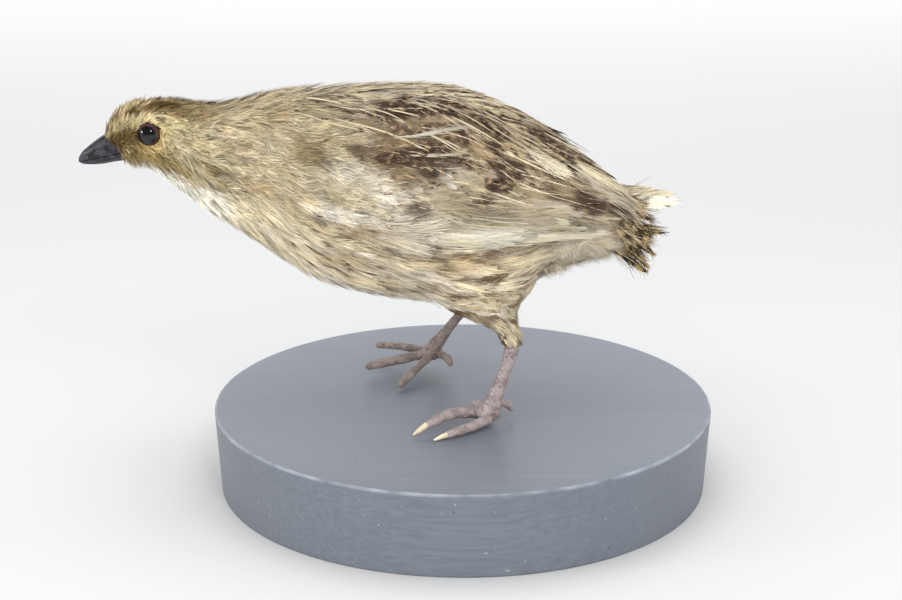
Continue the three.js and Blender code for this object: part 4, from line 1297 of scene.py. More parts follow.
@dataclass(frozen=True)
class Skin:
    """The skin of trunk, wings and thighs, inside the coat by the coat's depth."""

    depth: float = 2.4
    head_depth: float = 1.0
    rows: int = 240
    sides: int = 144

    def trunk(self) -> tuple[Array, Array, Array]:
        """The trunk's surface, sunk, and cut back to the slanted line behind the bill.

        Returns:
            Rings of points, and the x and turn of each.
        """
        share = np.linspace(0, 1, self.rows)
        x = TRUNK.rows[0, 0] + 0.6 + (TRUNK.rows[-1, 0] - 2 - TRUNK.rows[0, 0]) * share
        turn = np.linspace(0, 360, self.sides, endpoint=False)
        x, turn = np.meshgrid(x, turn, indexing="ij")
        sunk = self.head_depth + (self.depth - self.head_depth) * soft((x + 88) / 26)
        rings = TRUNK.point(x, turn, -np.minimum(sunk, 0.3 + 0.35 * (x - TRUNK.rows[0, 0])))
        rings[..., 0] = np.maximum(rings[..., 0], TRUNK.feather_line(rings[..., 2]) + 0.3)
        return rings, x, (turn + 180) % 360 - 180

    def wing(self, side: int) -> tuple[Array, Array, Array]:
        """A pad under the wing's feathers, in rings across it.

        Args:
            side: -1 for the bird's left, 1 for its right.
        Returns:
            Rings of points, and the x and turn whose colours they take.
        """
        rows, steps = 60, 26
        x = np.linspace(-46, 34, rows)[:, None] + np.zeros((1, 2 * steps))
        upper, lower, _ = smooth_rows(WINGS.core, x)
        share = np.concatenate([np.linspace(0, 1, steps), np.linspace(1, 0, steps)])[None]
        turn = -side * (upper + (lower - upper) * share)
        outer = (np.arange(2 * steps) < steps)[None]
        lift = np.where(outer, -1.0, -WINGS.thickness(x, turn) - self.depth)
        return WINGS.point(x, turn, lift), x, turn

    def thigh(self, side: int) -> tuple[Array, Array, Array]:
        """The thigh's rings, sunk."""
        form = Thigh(side)
        down = np.linspace(2, form.rows[-1, 0], 50)
        turn = np.linspace(0, 360, 72, endpoint=False)
        down, turn = np.meshgrid(down, turn, indexing="ij")
        sunk = 1.6 - 1.1 * soft((down - 12) / 8)
        return form.point(down, turn, -sunk), form.point(down, turn, 0)[..., 0], 125 + 0 * turn

    def build(self, finish: Material) -> None:
        """Joins the closed surfaces into one piece in the coat's colours, darkened by a fifth as painted
        shade under the feathers.

        Args:
            finish: the skin's material.
        """
        nodes = ("torso", "neck", "head", "tail", "wing_left", "wing_right")
        nodes += ("thigh_left", "thigh_right")
        points, faces, tints, darks = [], [], [], []
        parts = [(self.trunk(), True)]
        parts += [(self.wing(side), side < 0) for side in (-1, 1)]
        parts += [(self.thigh(side), side > 0) for side in (-1, 1)]
        for (rings, x, turn), inward in parts:
            own_points, own_faces = closed_tube(rings, sum(map(len, points)), inward)
            points.append(own_points)
            faces += own_faces
            tint = MARKINGS.at(x, turn).reshape(-1, 3)
            tints += [tint, tint[: x.shape[1]].mean(0), tint[-x.shape[1] :].mean(0)]
            darks.append(np.append(MARKINGS.dark(x, turn), [0.0, 0.0]))
        place = np.vstack(points)
        dark = np.concatenate(darks)[:, None] * [1, 0, 0]
        numbers = {"lie": place * [0, 0, 1], "dice": 0 * place, "marks": dark}
        # darker by a fifth than the coat: painted shade under and between the feathers
        tint = np.vstack(tints) * 0.8
        finish_mesh("skin", place, faces, finish, numbers, tint, None, nodes)


def add_coat(name: str, coats: list[Coat], finish: Material,
        tidy: Callable | None = None) -> None:
    """Makes one piece of several tracts.

    Args:
        name: the piece's name.
        coats: the tracts' feathers.
        finish: their material.
        tidy: moves the points before they are kept, if given.
    """
    coat = Coat.joined(coats)
    points = tidy(coat.points) if tidy else coat.points
    numbers = {"lie": coat.lie, "dice": coat.dice, "marks": coat.marks}
    finish_mesh(name, points, [coat.faces], finish, numbers, coat.tint, coat.uv)


@dataclass(frozen=True)
class Eye:
    """One glass eye: its middle and radius in millimetres, from the frame."""

    side: int
    centre: Array
    radius: float
    forward: float = 0.16  # radians that it looks ahead
    lid: float = 2.92  # radius of the ring of lids
    profile = np.array(
        [  # its section: distance from the axis, height over the middle, share of feather brown
            (2.3, 1.5, 0), (2.6, 2.0, 0), (2.76, 2.24, 0), (2.95, 2.22, 0), (3.08, 1.95, 0.4),
            (3.35, 1.3, 1), (4.0, 0.2, 1), (3.2, 0.1, 1), (2.4, 0.8, 1),
        ]
    )

    @staticmethod
    def of_frame(name: str, side: int) -> Eye:
        """Takes the middle and the radius from the node's box."""
        low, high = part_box(name)
        middle = np.array([(a + b) / 2 for a, b in zip(low, high)]) / MM
        return Eye(side, middle, (high[1] - low[1]) / 2 / MM)

    def axis(self) -> Array:
        """The way the eye looks."""
        return np.array([-math.sin(self.forward), self.side * math.cos(self.forward), 0.0])

    def split(self, points: Array) -> tuple[Array, Array]:
        """Points from the eye's middle: height along its axis, and the rest of the way."""
        off = points - self.centre
        height = off @ self.axis()
        return height, off - height[..., None] * self.axis()

    def cleared(self, points: Array) -> Array:
        """Bends what lies over the glass out to the lids.

        Formula: the distance d from the eye's axis becomes (d^12 + hole^12)^(1/12) near the eye.

        Args:
            points: the coat's points.
        Returns:
            The points, moved.
        """
        height, flat = self.split(points)
        reach = np.linalg.norm(flat, axis=1) + 1e-9
        pushed = (reach**12 + (self.lid - 0.15) ** 12) ** (1 / 12)
        near = (height > -self.radius) & (reach < 2 * self.lid)
        scale = np.where(near, pushed / reach, 1.0)
        return self.centre + flat * scale[:, None] + height[:, None] * self.axis()

    def circle(self, angle: Array) -> Array:
        """Unit vectors square to the eye's axis, from the back upwards."""
        up = np.array([0.0, 0.0, 1.0])
        back = np.cross(up, self.axis()) * self.side * -1
        return np.cos(angle)[..., None] * back + np.sin(angle)[..., None] * up

    def build(self, glass: Material, lid_finish: Material, name: str) -> None:
        """Builds the ball and the ring of lids, a torus flattened to the head.

        Args:
            glass: the ball's material.
            lid_finish: the lids' material.
            name: the node that it replaces.
        """
        out = self.axis()
        polar, around = ball_grid(40, 64)
        way = np.cos(polar)[..., None] * out + np.sin(polar)[..., None] * self.circle(around)
        rings = self.centre + self.radius * way
        points, faces = closed_tube(rings, 0, self.side > 0)
        away = np.append(np.where(polar < np.pi / 2, np.sin(polar), 1.0), [0.0, 1.0])
        finish_mesh(name, points, faces, glass, {"out": away}, None, None, (name,))
        profile = self.profile
        a = np.linspace(0, 2 * np.pi, 72, endpoint=False)[:, None] + 0 * profile[:, 0]
        radial = profile[:, 0] * (1 + 0.02 * np.sin(7 * a))
        lid_points = self.centre + radial[..., None] * self.circle(a) + profile[:, 1, None] * out
        step = len(profile)
        first = np.arange(step)
        last, ahead = 71 * step + first, (first + 1) % step
        seam = np.stack([last, 71 * step + ahead, ahead, first], 1)
        faces = np.vstack([grid_faces(72, step), seam])
        faces = [faces[:, ::-1]] if self.side > 0 else [faces]
        dots = np.tile(profile[:, 2], 72)
        finish_mesh(name.replace("eye", "lids"), lid_points.reshape(-1, 3), faces, lid_finish,
            {"groove": dots}, None, None)


@dataclass(frozen=True)
class HeadCoat:
    """Short bristly feathers of the head, and the longer ones of the neck."""

    eyes: tuple[Eye, Eye]

    def flow(self, x: Array, turn: Array) -> Array:
        """The lie of the head's feathers.

        Formula: the stream of water round a post at the eye, with a rise on the forehead.

        Args:
            x: places along the head.
            turn: degrees from the crown, without sign.
        Returns:
            Degrees down from straight back.
        """
        eye_x, eye_turn, per_degree, post = -89.4, 83.0, 0.175, 3.4
        ahead, below = x - eye_x, (turn - eye_turn) * per_degree
        square = np.maximum(ahead**2 + below**2, post**2)
        along = 1 - post**2 * (ahead**2 - below**2) / square**2
        down = -2 * post**2 * ahead * below / square**2
        stream = np.degrees(np.arctan2(down, np.maximum(along, 0.05)))
        rise = -38 * soft((-90 - x) / 8) * soft((125 - turn) / 50)
        swirl = 34 * soft(1 - np.hypot((x + 81) / 7, (turn - 92) / 30))
        throat = 14 * soft((turn - 110) / 30)
        return stream + rise + swirl + throat

    def tracts(self) -> tuple[list[Tract], Tract]:
        """The head's tufts, finer near the bill, and the neck's feathers."""
        tuft = replace(HAIR, strands=6, sweep=0.85, crown=0.35, leaf=(1.5, 0.6), fray=0.3, tones=(0.4,
            1.55), ruffle=0.5, jitter=0.1, bend=0.14, rise=1.0, thread=0.25, stray=0.2)
        plume = replace(HAIR, strands=9, sweep=0.75, leaf=(1.4, 0.55), tones=(0.5, 1.45), ruffle=0.6,
            jitter=0.12, bend=0.12, thread=0.3, stray=0.14)
        bill_side = Tract(TRUNK, (-104, -95), (4, 178), (0.66, 0.66), (2.2, 3.2), 0.42, 0.8, replace(tuft,
            ruffle=1.1), STREAK, self.flow, 14, 0.1, 0.8)
        head = Tract(TRUNK, (-95, -77), (2, 178), (0.9, 0.9), (3.6, 5.4), 0.42, 1.0, tuft, STREAK,
            self.flow, 12, 0.1, 0.8)
        neck = Tract(TRUNK, (-79, -54), (1, 179), (1.7, 1.8), (6.5, 11), 0.42, 1.5, plume, STREAK, 6.0, 6,
            0.1, 0.5)
        return [bill_side, head], neck

    def build(self, head_finish: Material, body_finish: Material) -> None:
        """Grows the tufts clear of eyes and bill, and the neck's feathers.

        Args:
            head_finish: the head's material.
            body_finish: the neck's material.
        """
        tufts, neck = self.tracts()
        for (side, name), eye in zip(SIDES, self.eyes):
            rng = np.random.default_rng(100 + side)
            coats = []
            for tract in tufts:
                roots = tract.roots(side, rng)
                shares = np.tile([0, 0.35, 0.6, 0.85, 1.1], (len(roots.along), 1))
                places = roots.place(shares, 0.0, -0.3)
                reach = np.linalg.norm(eye.split(places)[1], axis=-1)
                crossing = reach[:, 1:].min(axis=1) < eye.lid
                base = places[:, 0]
                behind = base[:, 0] > TRUNK.feather_line(base[:, 2]) + 0.1
                kept = (reach[:, 0] > 0.86 * eye.lid) & behind
                roots = roots.shortened(np.where(crossing, 0.42, 1)).kept(kept)
                coats.append(tract.grown(roots, rng))
            add_coat(f"coat_head_{name}", coats, head_finish, eye.cleared)
            coats = [neck.grown(neck.roots(side, rng), rng)]
            add_coat(f"coat_neck_{name}", coats, body_finish)


def falling(x: Array, turn: Array) -> Array:
    """The lie over back and wing: down from the spine, level at the edge."""
    return 21 * soft(turn / 16) * (1 - 0.75 * soft((turn - 35) / 35)) + 0 * x


def upswept(x: Array, turn: Array) -> Array:
    """The lie behind the legs: up towards the tail."""
    return 6 - 24 * soft((x + 6) / 26) + 0 * turn


def tucked(x: Array, turn: Array) -> Array:
    """Height of the flank's tips: low where they end under the wing."""
    return 0.3 - 2.2 * soft((112 - turn) / 8) + 0 * x


def swept_back(down: Array, turn: Array) -> Array:
    """The lie on the thigh: back on both faces, down near the shank."""
    return 76 * np.sin(np.radians(turn)) * (1 - 0.75 * soft((down - 9) / 10))


@dataclass(frozen=True)
class BodyCoat:
    """The soft feathers of mantle, breast, belly, flanks, back and rump."""

    hair: Cut = HAIR
    streak: Cut = replace(HAIR, strands=13, sweep=0.8, leaf=(1.5, 0.6), fray=0.3, jitter=0.08, bend=0.09,
        stray=0.05)
    back: Cut = Cut(web=11, core=0.65, strands=18, sweep=0.5, crown=0.8, leaf=(1.3, 0.55), fray=0.3,
        tones=(0.7, 1.3), ruffle=0.15, bend=0.08, shaft=0.4, thread=0.28, stray=0.06)
    down: Cut = replace(HAIR, strands=12, sweep=0.7, crown=0.6, leaf=(1.0, 0.5), fray=0.5, tones=(0.75,
        1.2), arch=0.0, ruffle=1.8, jitter=0.35, bend=0.2, thread=0.16, stray=0.45)

    def soft_tracts(self) -> dict[str, list[Tract]]:
        """The pale soft tracts of one side by the piece that they go into."""
        breast = Tract(TRUNK, (-60, 2), (98, 180), (2.6, 2.7), (9.5, 14), 0.42, 2.0, self.hair, SPOT, 4.0,
            5, 0.1, 0.5)
        belly = Tract(TRUNK, (0, 42), (106, 180), (2.7, 2.8), (13, 11), 0.42, 2.0, self.hair, SPOT,
            upswept, 6, 0.1, 0.4)
        flank = Tract(FLANK, (-36, 24), (106, 146), (3.0, 3.0), (15, 20), 0.28, 1.5, self.streak, STREAK,
            upswept, 6, tucked, 0.8)
        shoulder = Tract(WINGS, (-60, -26), (44, 104), (2.5, 2.6), (9.5, 14), 0.42, 2.0, self.hair, STREAK,
            8.0, 5, 0.2, 0.7)
        down = Tract(TRUNK, (22, 50), (104, 180), (1.7, 2.0), (7, 9), 0.8, 1.8, self.down, PLAIN, 22.0, 26,
            -0.4, 0.3)
        return {"breast": [breast], "belly": [belly, flank], "shoulder": [shoulder], "rump_down": [down]}

    def dark_tracts(self) -> dict[str, list[Tract]]:
        """The barred and blotched tracts of mantle, back and rump."""
        mantle = Tract(WINGS, (-61, -18), (0, 48), (2.5, 2.6), (9.5, 14), 0.4, 2.0, self.hair, STREAK,
            falling, 5, 0.0, 0.9)
        back = Tract(TRUNK, (-22, 44), (0, 46), (2.8, 2.8), (12, 13), 0.4, 2.4, self.back, BACK, falling,
            8, 0.1, 0.6)
        rump = Tract(TRUNK, (10, 46), (40, 108), (2.6, 2.7), (9.5, 10.5), 0.42, 2.0, self.hair, BARRED,
            6.0, 12, 0.1, 0.8)
        return {"mantle": [mantle], "back": [back, rump]}

    def build(self, pale_finish: Material, dark_finish: Material) -> None:
        """Grows each tract on both sides.

        Args:
            pale_finish: material of breast and belly.
            dark_finish: material of the back.
        """
        sets = ((self.soft_tracts(), pale_finish), (self.dark_tracts(), dark_finish))
        for side, name in SIDES:
            for group, (pieces, finish) in enumerate(sets):
                for number, (piece, tracts) in enumerate(pieces.items()):
                    rng = np.random.default_rng(200 + 40 * group + 4 * number + side)
                    coats = [tract.grown(tract.roots(side, rng), rng) for tract in tracts]
                    add_coat(f"coat_{piece}_{name}", coats, finish)


@dataclass(frozen=True)
class WingCoat:
    """The folded wings: coverts, scapulars, and tiers of larger vanes."""

    small: Cut = Cut(strands=13, sweep=0.7, crown=0.55, bare=0.0, leaf=(1.4, 0.5), fray=0.35, tones=(0.6,
        1.35), ruffle=0.5, jitter=0.1, bend=0.09, shaft=0.3, shaft_pale=0.8, thread=0.32, stray=0.08)
    vane: Cut = Cut(web=34, columns=9, core=0.85, strands=20, sweep=0.42, curve=1.4, leaf=(1.05, 0.42),
        fray=0.12, tones=(0.75, 1.15), arch=0.16, ruffle=0.12, jitter=0.02, bend=0.02, rise=0.8,
        shaft=0.45, shaft_pale=0.5, thread=0.22, stray=0.03, reach=1.1, streaks=0.09)
    long: Cut = Cut(web=15, core=0.6, strands=22, sweep=0.42, crown=0.85, leaf=(1.3, 0.6), fray=0.3,
        tones=(0.7, 1.3), arch=0.14, ruffle=0.35, jitter=0.06, bend=0.07, rise=1.2, shaft=0.45,
        thread=0.28, stray=0.07, reach=1.1)
    lance: Cut = Cut(web=14, columns=3, strands=3, sweep=0.1, leaf=(0.8, 0.7), fray=0.04, arch=0.4,
        ruffle=0.3, jitter=0.02, bend=0.06, rise=2.0, thread=0.2, stray=0.03)
    lance_tint: Triple = (200, 187, 156)
    cream: Triple = (236, 224, 194)

    def tracts(self) -> list[Tract]:
        """Coverts at the bend and over the middle, then the scapulars."""
        bend = Tract(WINGS, (-46, -14), (54, 101), (2.7, 2.7), (9.5, 12), 0.44, 1.3, self.small, STREAK,
            6.0, 6, 0.5, 0.6)
        middle = Tract(WINGS, (-32, 12), (54, 93), (3.2, 3.4), (13, 16), 0.36, 1.1, self.long, BARRED, 9.0,
            6, 0.8, 1.0)
        scapular = Tract(WINGS, (-34, 16), (14, 60), (3.8, 3.8), (15, 19), 0.33, 1.0, self.long, BACK,
            falling, 8, 0.6, 1.0)
        return [bend, middle, scapular]

    def lances(self) -> list[Tract]:
        """The long pale shaft streaks over mantle, back and wing."""
        upper = Tract(WINGS, (-50, 24), (8, 48), (7.0, 6.6), (21, 22), 0.029, 0.3, self.lance, PLAIN,
            falling, 3, 1.2, 1.0, 5)
        lower = Tract(WINGS, (-28, 14), (48, 72), (12.0, 11.0), (14, 17), 0.03, 0.3, self.lance, PLAIN,
            falling, 3, 0.8, 1.0, 5)
        return [upper, lower]

    def tiers(self) -> list[Tier]:
        """The tiers of one wing, in the order in which they overlap."""
        vane, long = self.vane, self.long
        plume = replace(self.small, strands=34, shaft=0.5)
        flight = Tier(WINGS, 7, ((-24, 100), (-8, 88)), ((43, 99), (27, 87)), 7.2, 1.5, 0.7, vane, FLIGHT,
            0.8)
        second = Tier(WINGS, 8, ((-16, 97), (6, 71)), ((18, 99), (40, 77)), 7.8, 1.2, 0.6, vane, FLIGHT)
        inner = Tier(WINGS, 11, ((4, 84), (8, 50)), ((46, 86), (37, 54)), 5.4, 1.4, 0.7, long, STREAK, 1.0,
            (1.5, 2))
        covert = Tier(WINGS, 9, ((-36, 101), (-20, 82)), ((-8, 104), (4, 84)), 7.0, 1.3, 0.4, plume,
            STREAK, 0.5, (3, 2))
        return [flight, second, inner, covert]

    def accents(self, side: int) -> list[tuple[Tier, Triple]]:
        """Single pale feathers that stand out, with their colours.

        Args:
            side: -1 for the bird's left, 1 for its right.
        Returns:
            Pairs of a tier and its colour.
        """
        pale = replace(self.vane, shaft=0.7, strands=26, stray=0.1, reach=1.2, tones=(0.6, 1.05))
        tuft = replace(self.small, strands=26, thread=0.3, shaft=0.0, tones=(0.85, 1.1))
        streak = replace(self.small, strands=18, sweep=0.7, crown=0.6, thread=0.2, stray=0.1, shaft=0.3,
            bend=0.05, leaf=(0.5, 1.2), fray=0.5, tones=(0.6, 1.15))
        if side > 0:
            soft_tuft = replace(tuft, sweep=0.6, bend=0.08, ruffle=0.4, stray=0.2)
            far = Tier(WINGS, 3, ((14, 94), (16, 84)), ((66, 97), (61, 87)), 8.2, 0.2, 7.4, pale, PLAIN)
            fringe = Tier(WINGS, 6, ((26, 96), (34, 90)), ((57, 106), (62, 110)), 4.0, 0.6, 7.4, soft_tuft,
                STREAK)
            return [(far, self.cream), (fringe, (176, 156, 118))]
        inner = Tier(WINGS, 2, ((17, 45), (19, 50)), ((30, 55), (31, 58)), 6.0, 1.9, 0.9, tuft, PLAIN)
        rump = Tier(TRUNK, 5, ((29, 34), (34, 60)), ((50, 36), (52, 64)), 6.5, 1.5, 0.8, tuft, STREAK)
        upper = Tier(WINGS, 1, ((-20, 55), (-20, 55)), ((2, 49), (2, 49)), 2.6, 1.7, 0.4, streak, PLAIN)
        lower = Tier(WINGS, 1, ((-15, 63), (-15, 63)), ((-1, 61), (-1, 61)), 1.8, 1.7, 0.4, streak, PLAIN)
        tones = self.cream, (196, 184, 158), (218, 206, 178), self.lance_tint
        return list(zip((inner, rump, upper, lower), tones))

    def build(self, finish: Material) -> None:
        """Grows tracts and tiers on both wings, with the single feathers.

        Args:
            finish: the coat's material.
        """
        for side, name in SIDES:
            rng = np.random.default_rng(300 + side)
            coats = [tract.grown(tract.roots(side, rng), rng) for tract in self.tracts()]
            add_coat(f"coat_wing_{name}", coats, finish)
            coats = []
            for tract in self.lances():
                roots = tract.roots(side, rng)
                tint = colour(*self.lance_tint) * rng.uniform(0.8, 1.1, (len(roots.along), 1))
                coats.append(grow(roots, tract.cut, tract.pattern, rng, 1.0, tint))
            add_coat(f"streaks_{name}", coats, finish)
            coats = [grow(tier.grown(side, rng), tier.cut, tier.pattern, rng,
                tier.contrast) for tier in self.tiers()]
            for tier, tone in self.accents(side):
                tint = np.full((tier.count, 3), colour(*tone))
                coats.append(grow(tier.grown(side, rng), tier.cut, tier.pattern, rng, 1.0, tint))
            add_coat(f"vanes_wing_{name}", coats, finish)


@dataclass(frozen=True)
class TailFan(Form):
    """One fan of the tail: its feathers and the free sheet that they lie on.

    One coordinate runs from the sheet's root, 0, to its tips, 1, the other across from -1 to 1.
    """

    count: int
    width: float
    cut: Cut
    pattern: Pattern
    root: Triple
    root_edge: Triple  # what the edges add to the root, and below to the tip
    tip: Triple
    tip_edge: Triple
    facing: Triple
    tint: Triple

    @property
    def hand(self) -> int:
        """1 where the sheet faces up."""
        return 1 if self.facing[2] > 0 else -1

    def point(self, along: Array, turn: Array, lift: Array) -> Array:
        """Blends root and tip lines, each middle + edge * (turn^2, turn, turn^2).

        Args:
            along: 0 at the root to 1 at the tip.
            turn: -1 to 1 across the fan.
            lift: height over the sheet.
        Returns:
            Points in a new last axis.
        """
        along, turn, lift = np.broadcast_arrays(along, turn, lift)
        bow = np.stack([turn**2, turn, turn**2], axis=-1)
        first = self.root + np.array(self.root_edge) * bow
        last = self.tip + np.array(self.tip_edge) * bow
        flat = first + (last - first) * along[..., None]
        out = np.stack([0 * turn, turn, 0 * turn], axis=-1)
        facing = self.facing * np.array([1, 0, 1]) + self.facing[1] * out
        facing = facing / np.linalg.norm(facing, axis=-1, keepdims=True)
        return flat + facing * lift[..., None] + np.array([0, MEDIAN_Y, 0])

    def scales(self, along: Array, turn: Array) -> tuple[Array, Array]:
        """As on any form, from points a hundredth off."""
        step = 0.01
        ahead = self.point(along + step, turn, 0.0) - self.point(along - step, turn, 0.0)
        around = self.point(along, turn + step, 0.0) - self.point(along, turn - step, 0.0)
        return tuple(np.linalg.norm(part, axis=-1) / (2 * step) for part in (ahead, around))

    def body_place(self, along: Array, turn: Array) -> tuple[Array, Array]:
        """The x of the point, and a turn that tells the fans apart."""
        return self.point(along, turn, 0.0)[..., 0], 60 * turn + 90 * self.facing[0] + self.root[2]

    def coat(self, rng: Rng) -> Coat:
        """Grows feathers across the fan, each a little astray.

        Args:
            rng: the random draws.
        Returns:
            The feathers.
        """
        across = np.linspace(-1, 1, self.count) + rng.uniform(-0.05, 0.05, self.count)
        reach = rng.uniform(0.9, 1.04, self.count)
        span = self.point(reach, across, 0.0) - self.point(0 * reach, across, 0.0)
        astray = rng.uniform(-0.06, 0.06, self.count)
        length = np.linalg.norm(span, axis=1)
        roots = spread_roots(self, 0, across, reach, astray, length, self.width, 0.4, 0.3)
        tint = colour(*self.tint) * rng.uniform(0.8, 1.2, (self.count, 1))
        return grow(roots, self.cut, self.pattern, rng, 1.0, tint)


@dataclass(frozen=True)
class TailCoat:
    """The short drooping tail: a fan of feathers, and coverts over and under it."""

    feather: Cut = Cut(web=14, columns=5, strands=30, sweep=0.4, leaf=(1.2, 0.55), fray=0.25, tones=(0.4,
        2.0), core=0.4, ruffle=0.7, jitter=0.15, bend=0.08, rise=1.0, shaft=0.35, thread=0.22, stray=0.14,
        reach=1.25, streaks=0.1)
    covert: Cut = Cut(web=0, strands=24, sweep=0.6, crown=0.8, leaf=(1.3, 0.5), fray=0.3, tones=(0.4, 2.0),
        ruffle=0.5, jitter=0.12, bend=0.1, rise=1.0, shaft=0.25, thread=0.22, stray=0.2, reach=1.25,
        streaks=0.1)

    def build(self, finish: Material) -> None:
        """Grows the fans from the innermost out.

        Args:
            finish: the coat's material.
        """
        brown, buff = (108, 90, 66), (184, 168, 140)
        fans = [
            # the fan, upper coverts in two layers, under coverts, and two long ones under them
            TailFan(13, 5.2, self.feather, TAIL, (40, 0, 80.5), (0, 4.6, -5), (59.5, 0, 75.5),
                (-4.5, 9.6, -11.5), (0.35, 0.8, 0.8), brown),
            TailFan(10, 5.6, self.covert, TAIL, (42, 0, 86), (0, 7, -6), (57, 0, 79), (-2.5, 9.2, -9),
                (0.5, 0.8, 0.85), brown),
            TailFan(10, 5.6, self.covert, BACK, (38, 0, 92.5), (0, 9, -7), (53.5, 0, 83.5),
                (-2, 8.6, -8), (0.5, 0.8, 0.85), (150, 134, 112)),
            TailFan(10, 5.0, self.covert, STREAK, (39, 0, 70.4), (0, 6.5, 4), (53, 0, 66.4),
                (-2.4, 7.2, 2.6), (-0.3, 0.6, -1), buff),
            TailFan(2, 3.4, self.covert, PLAIN, (43, -2, 71.5), (0, 1.2, 0), (55.6, -2, 63.4),
                (-1.5, 1.8, 0.8), (-0.3, 0.8, 0.6), (204, 182, 148)),
        ]
        rng = np.random.default_rng(400)
        add_coat("coat_tail", [fan.coat(rng) for fan in fans], finish)


@dataclass(frozen=True)
class ThighCoat:
    """Hair-like feathers of the thighs, down to the top of the shank."""

    plume: Cut = replace(HAIR, strands=9, sweep=0.8, crown=0.45, leaf=(1.4, 0.55), tones=(0.7, 1.25),
        arch=0.08, ruffle=0.4, jitter=0.12, bend=0.12, thread=0.32, stray=0.12)

    def build(self, finish: Material) -> None:
        """Grows one tract on each thigh, pointing down and a little back.

        Args:
            finish: the coat's material.
        """
        for side, name in SIDES:
            rng = np.random.default_rng(500 + side)
            form = Thigh(side)
            last = form.rows[-1, 0]
            tract = Tract(form, (2.0, last - 2.5), (-170, 190), (1.6, 1.8), (13, 3.6), 0.3, 1.4,
                self.plume, STREAK, swept_back, 9, -0.1, 1.0)
            coats = [tract.grown(tract.roots(side, rng), rng)]
            add_coat(f"coat_thigh_{name}", coats, finish)


@dataclass(frozen=True)
class Bill:
    """The blunt slate-black bill, with nostrils under flaps and a line of the mouth."""

    stations = np.array(
        [  # x, culmen, mouth, lower edge, half width
            (-111.3, 98.6, 96.6, 96, 0.9), (-110, 99.8, 96.8, 95.7, 1.4), (-108, 101.5, 97.3, 95.6, 2.05),
            (-106, 103, 97.9, 95.7, 2.6), (-104, 104.3, 98.4, 95.9, 3.1), (-101, 105.6, 99.2, 96.5, 3.7),
            (-97.5, 106.6, 100.1, 97, 4.3),
        ]
    )
    gap: float = 0.16
    rows: int = 90
    sides: int = 72

    def half(self, upper: bool) -> tuple[Array, list[Array]]:
        """Half an ellipse over a flat side at each station, rounded at the tip.

        Args:
            upper: whether it is the upper half.
        Returns:
            Its points and its faces.
        """
        share = np.linspace(0, 1, self.rows)[:, None]
        x = -97.9 - (111.75 - 97.9) * share**0.85
        held = np.maximum(x, self.stations[0, 0])
        culmen, mouth, lower, half = smooth_rows(self.stations, held)
        blunt = np.sqrt(1 - (1 - np.clip((x + 111.75) / 1.4, 0, 1)) ** 2)
        edge = mouth + (self.gap if upper else -self.gap) / 2
        height = ((culmen if upper else lower) - edge) * blunt
        arc = np.linspace(0, np.pi, self.sides - 16)
        back = np.linspace(-1, 1, 18)[1:-1]
        around = np.concatenate([np.cos(arc), back])[None]
        up = np.concatenate([np.sin(arc) ** 0.85, 0 * back])[None]
        y = MEDIAN_Y + np.maximum(half, 1.0) * blunt * around
        z = edge + height * up
        x = x + 0 * y
        if upper:
            wall = np.sign(around) * np.clip(np.abs(around) * 4 - 0.8, 0, 1)
            flap = np.exp(-(((x + 101.9) / 2.3) ** 2) - ((z - 102.4 - 0.3 * (x + 101.9)) / 0.9) ** 2)
            slot = np.exp(-(((x + 102.8) / 2.2) ** 2) - ((z - 101.2 - 0.3 * (x + 102.8)) / 0.38) ** 2)
            y = y + wall * (0.42 * flap - 0.75 * slot) * (up > 0.02)
        rings = np.stack([x, y, z], axis=-1)
        return closed_tube(rings, 0, inward=upper)

    def build(self, finish: Material) -> None:
        """Builds both mandibles in place of the frame's."""
        for upper in (True, False):
            name = "bill_upper" if upper else "bill_lower"
            points, faces = self.half(upper)
            finish_mesh(f"{name}_horn", points, faces, finish, nodes=(name,))


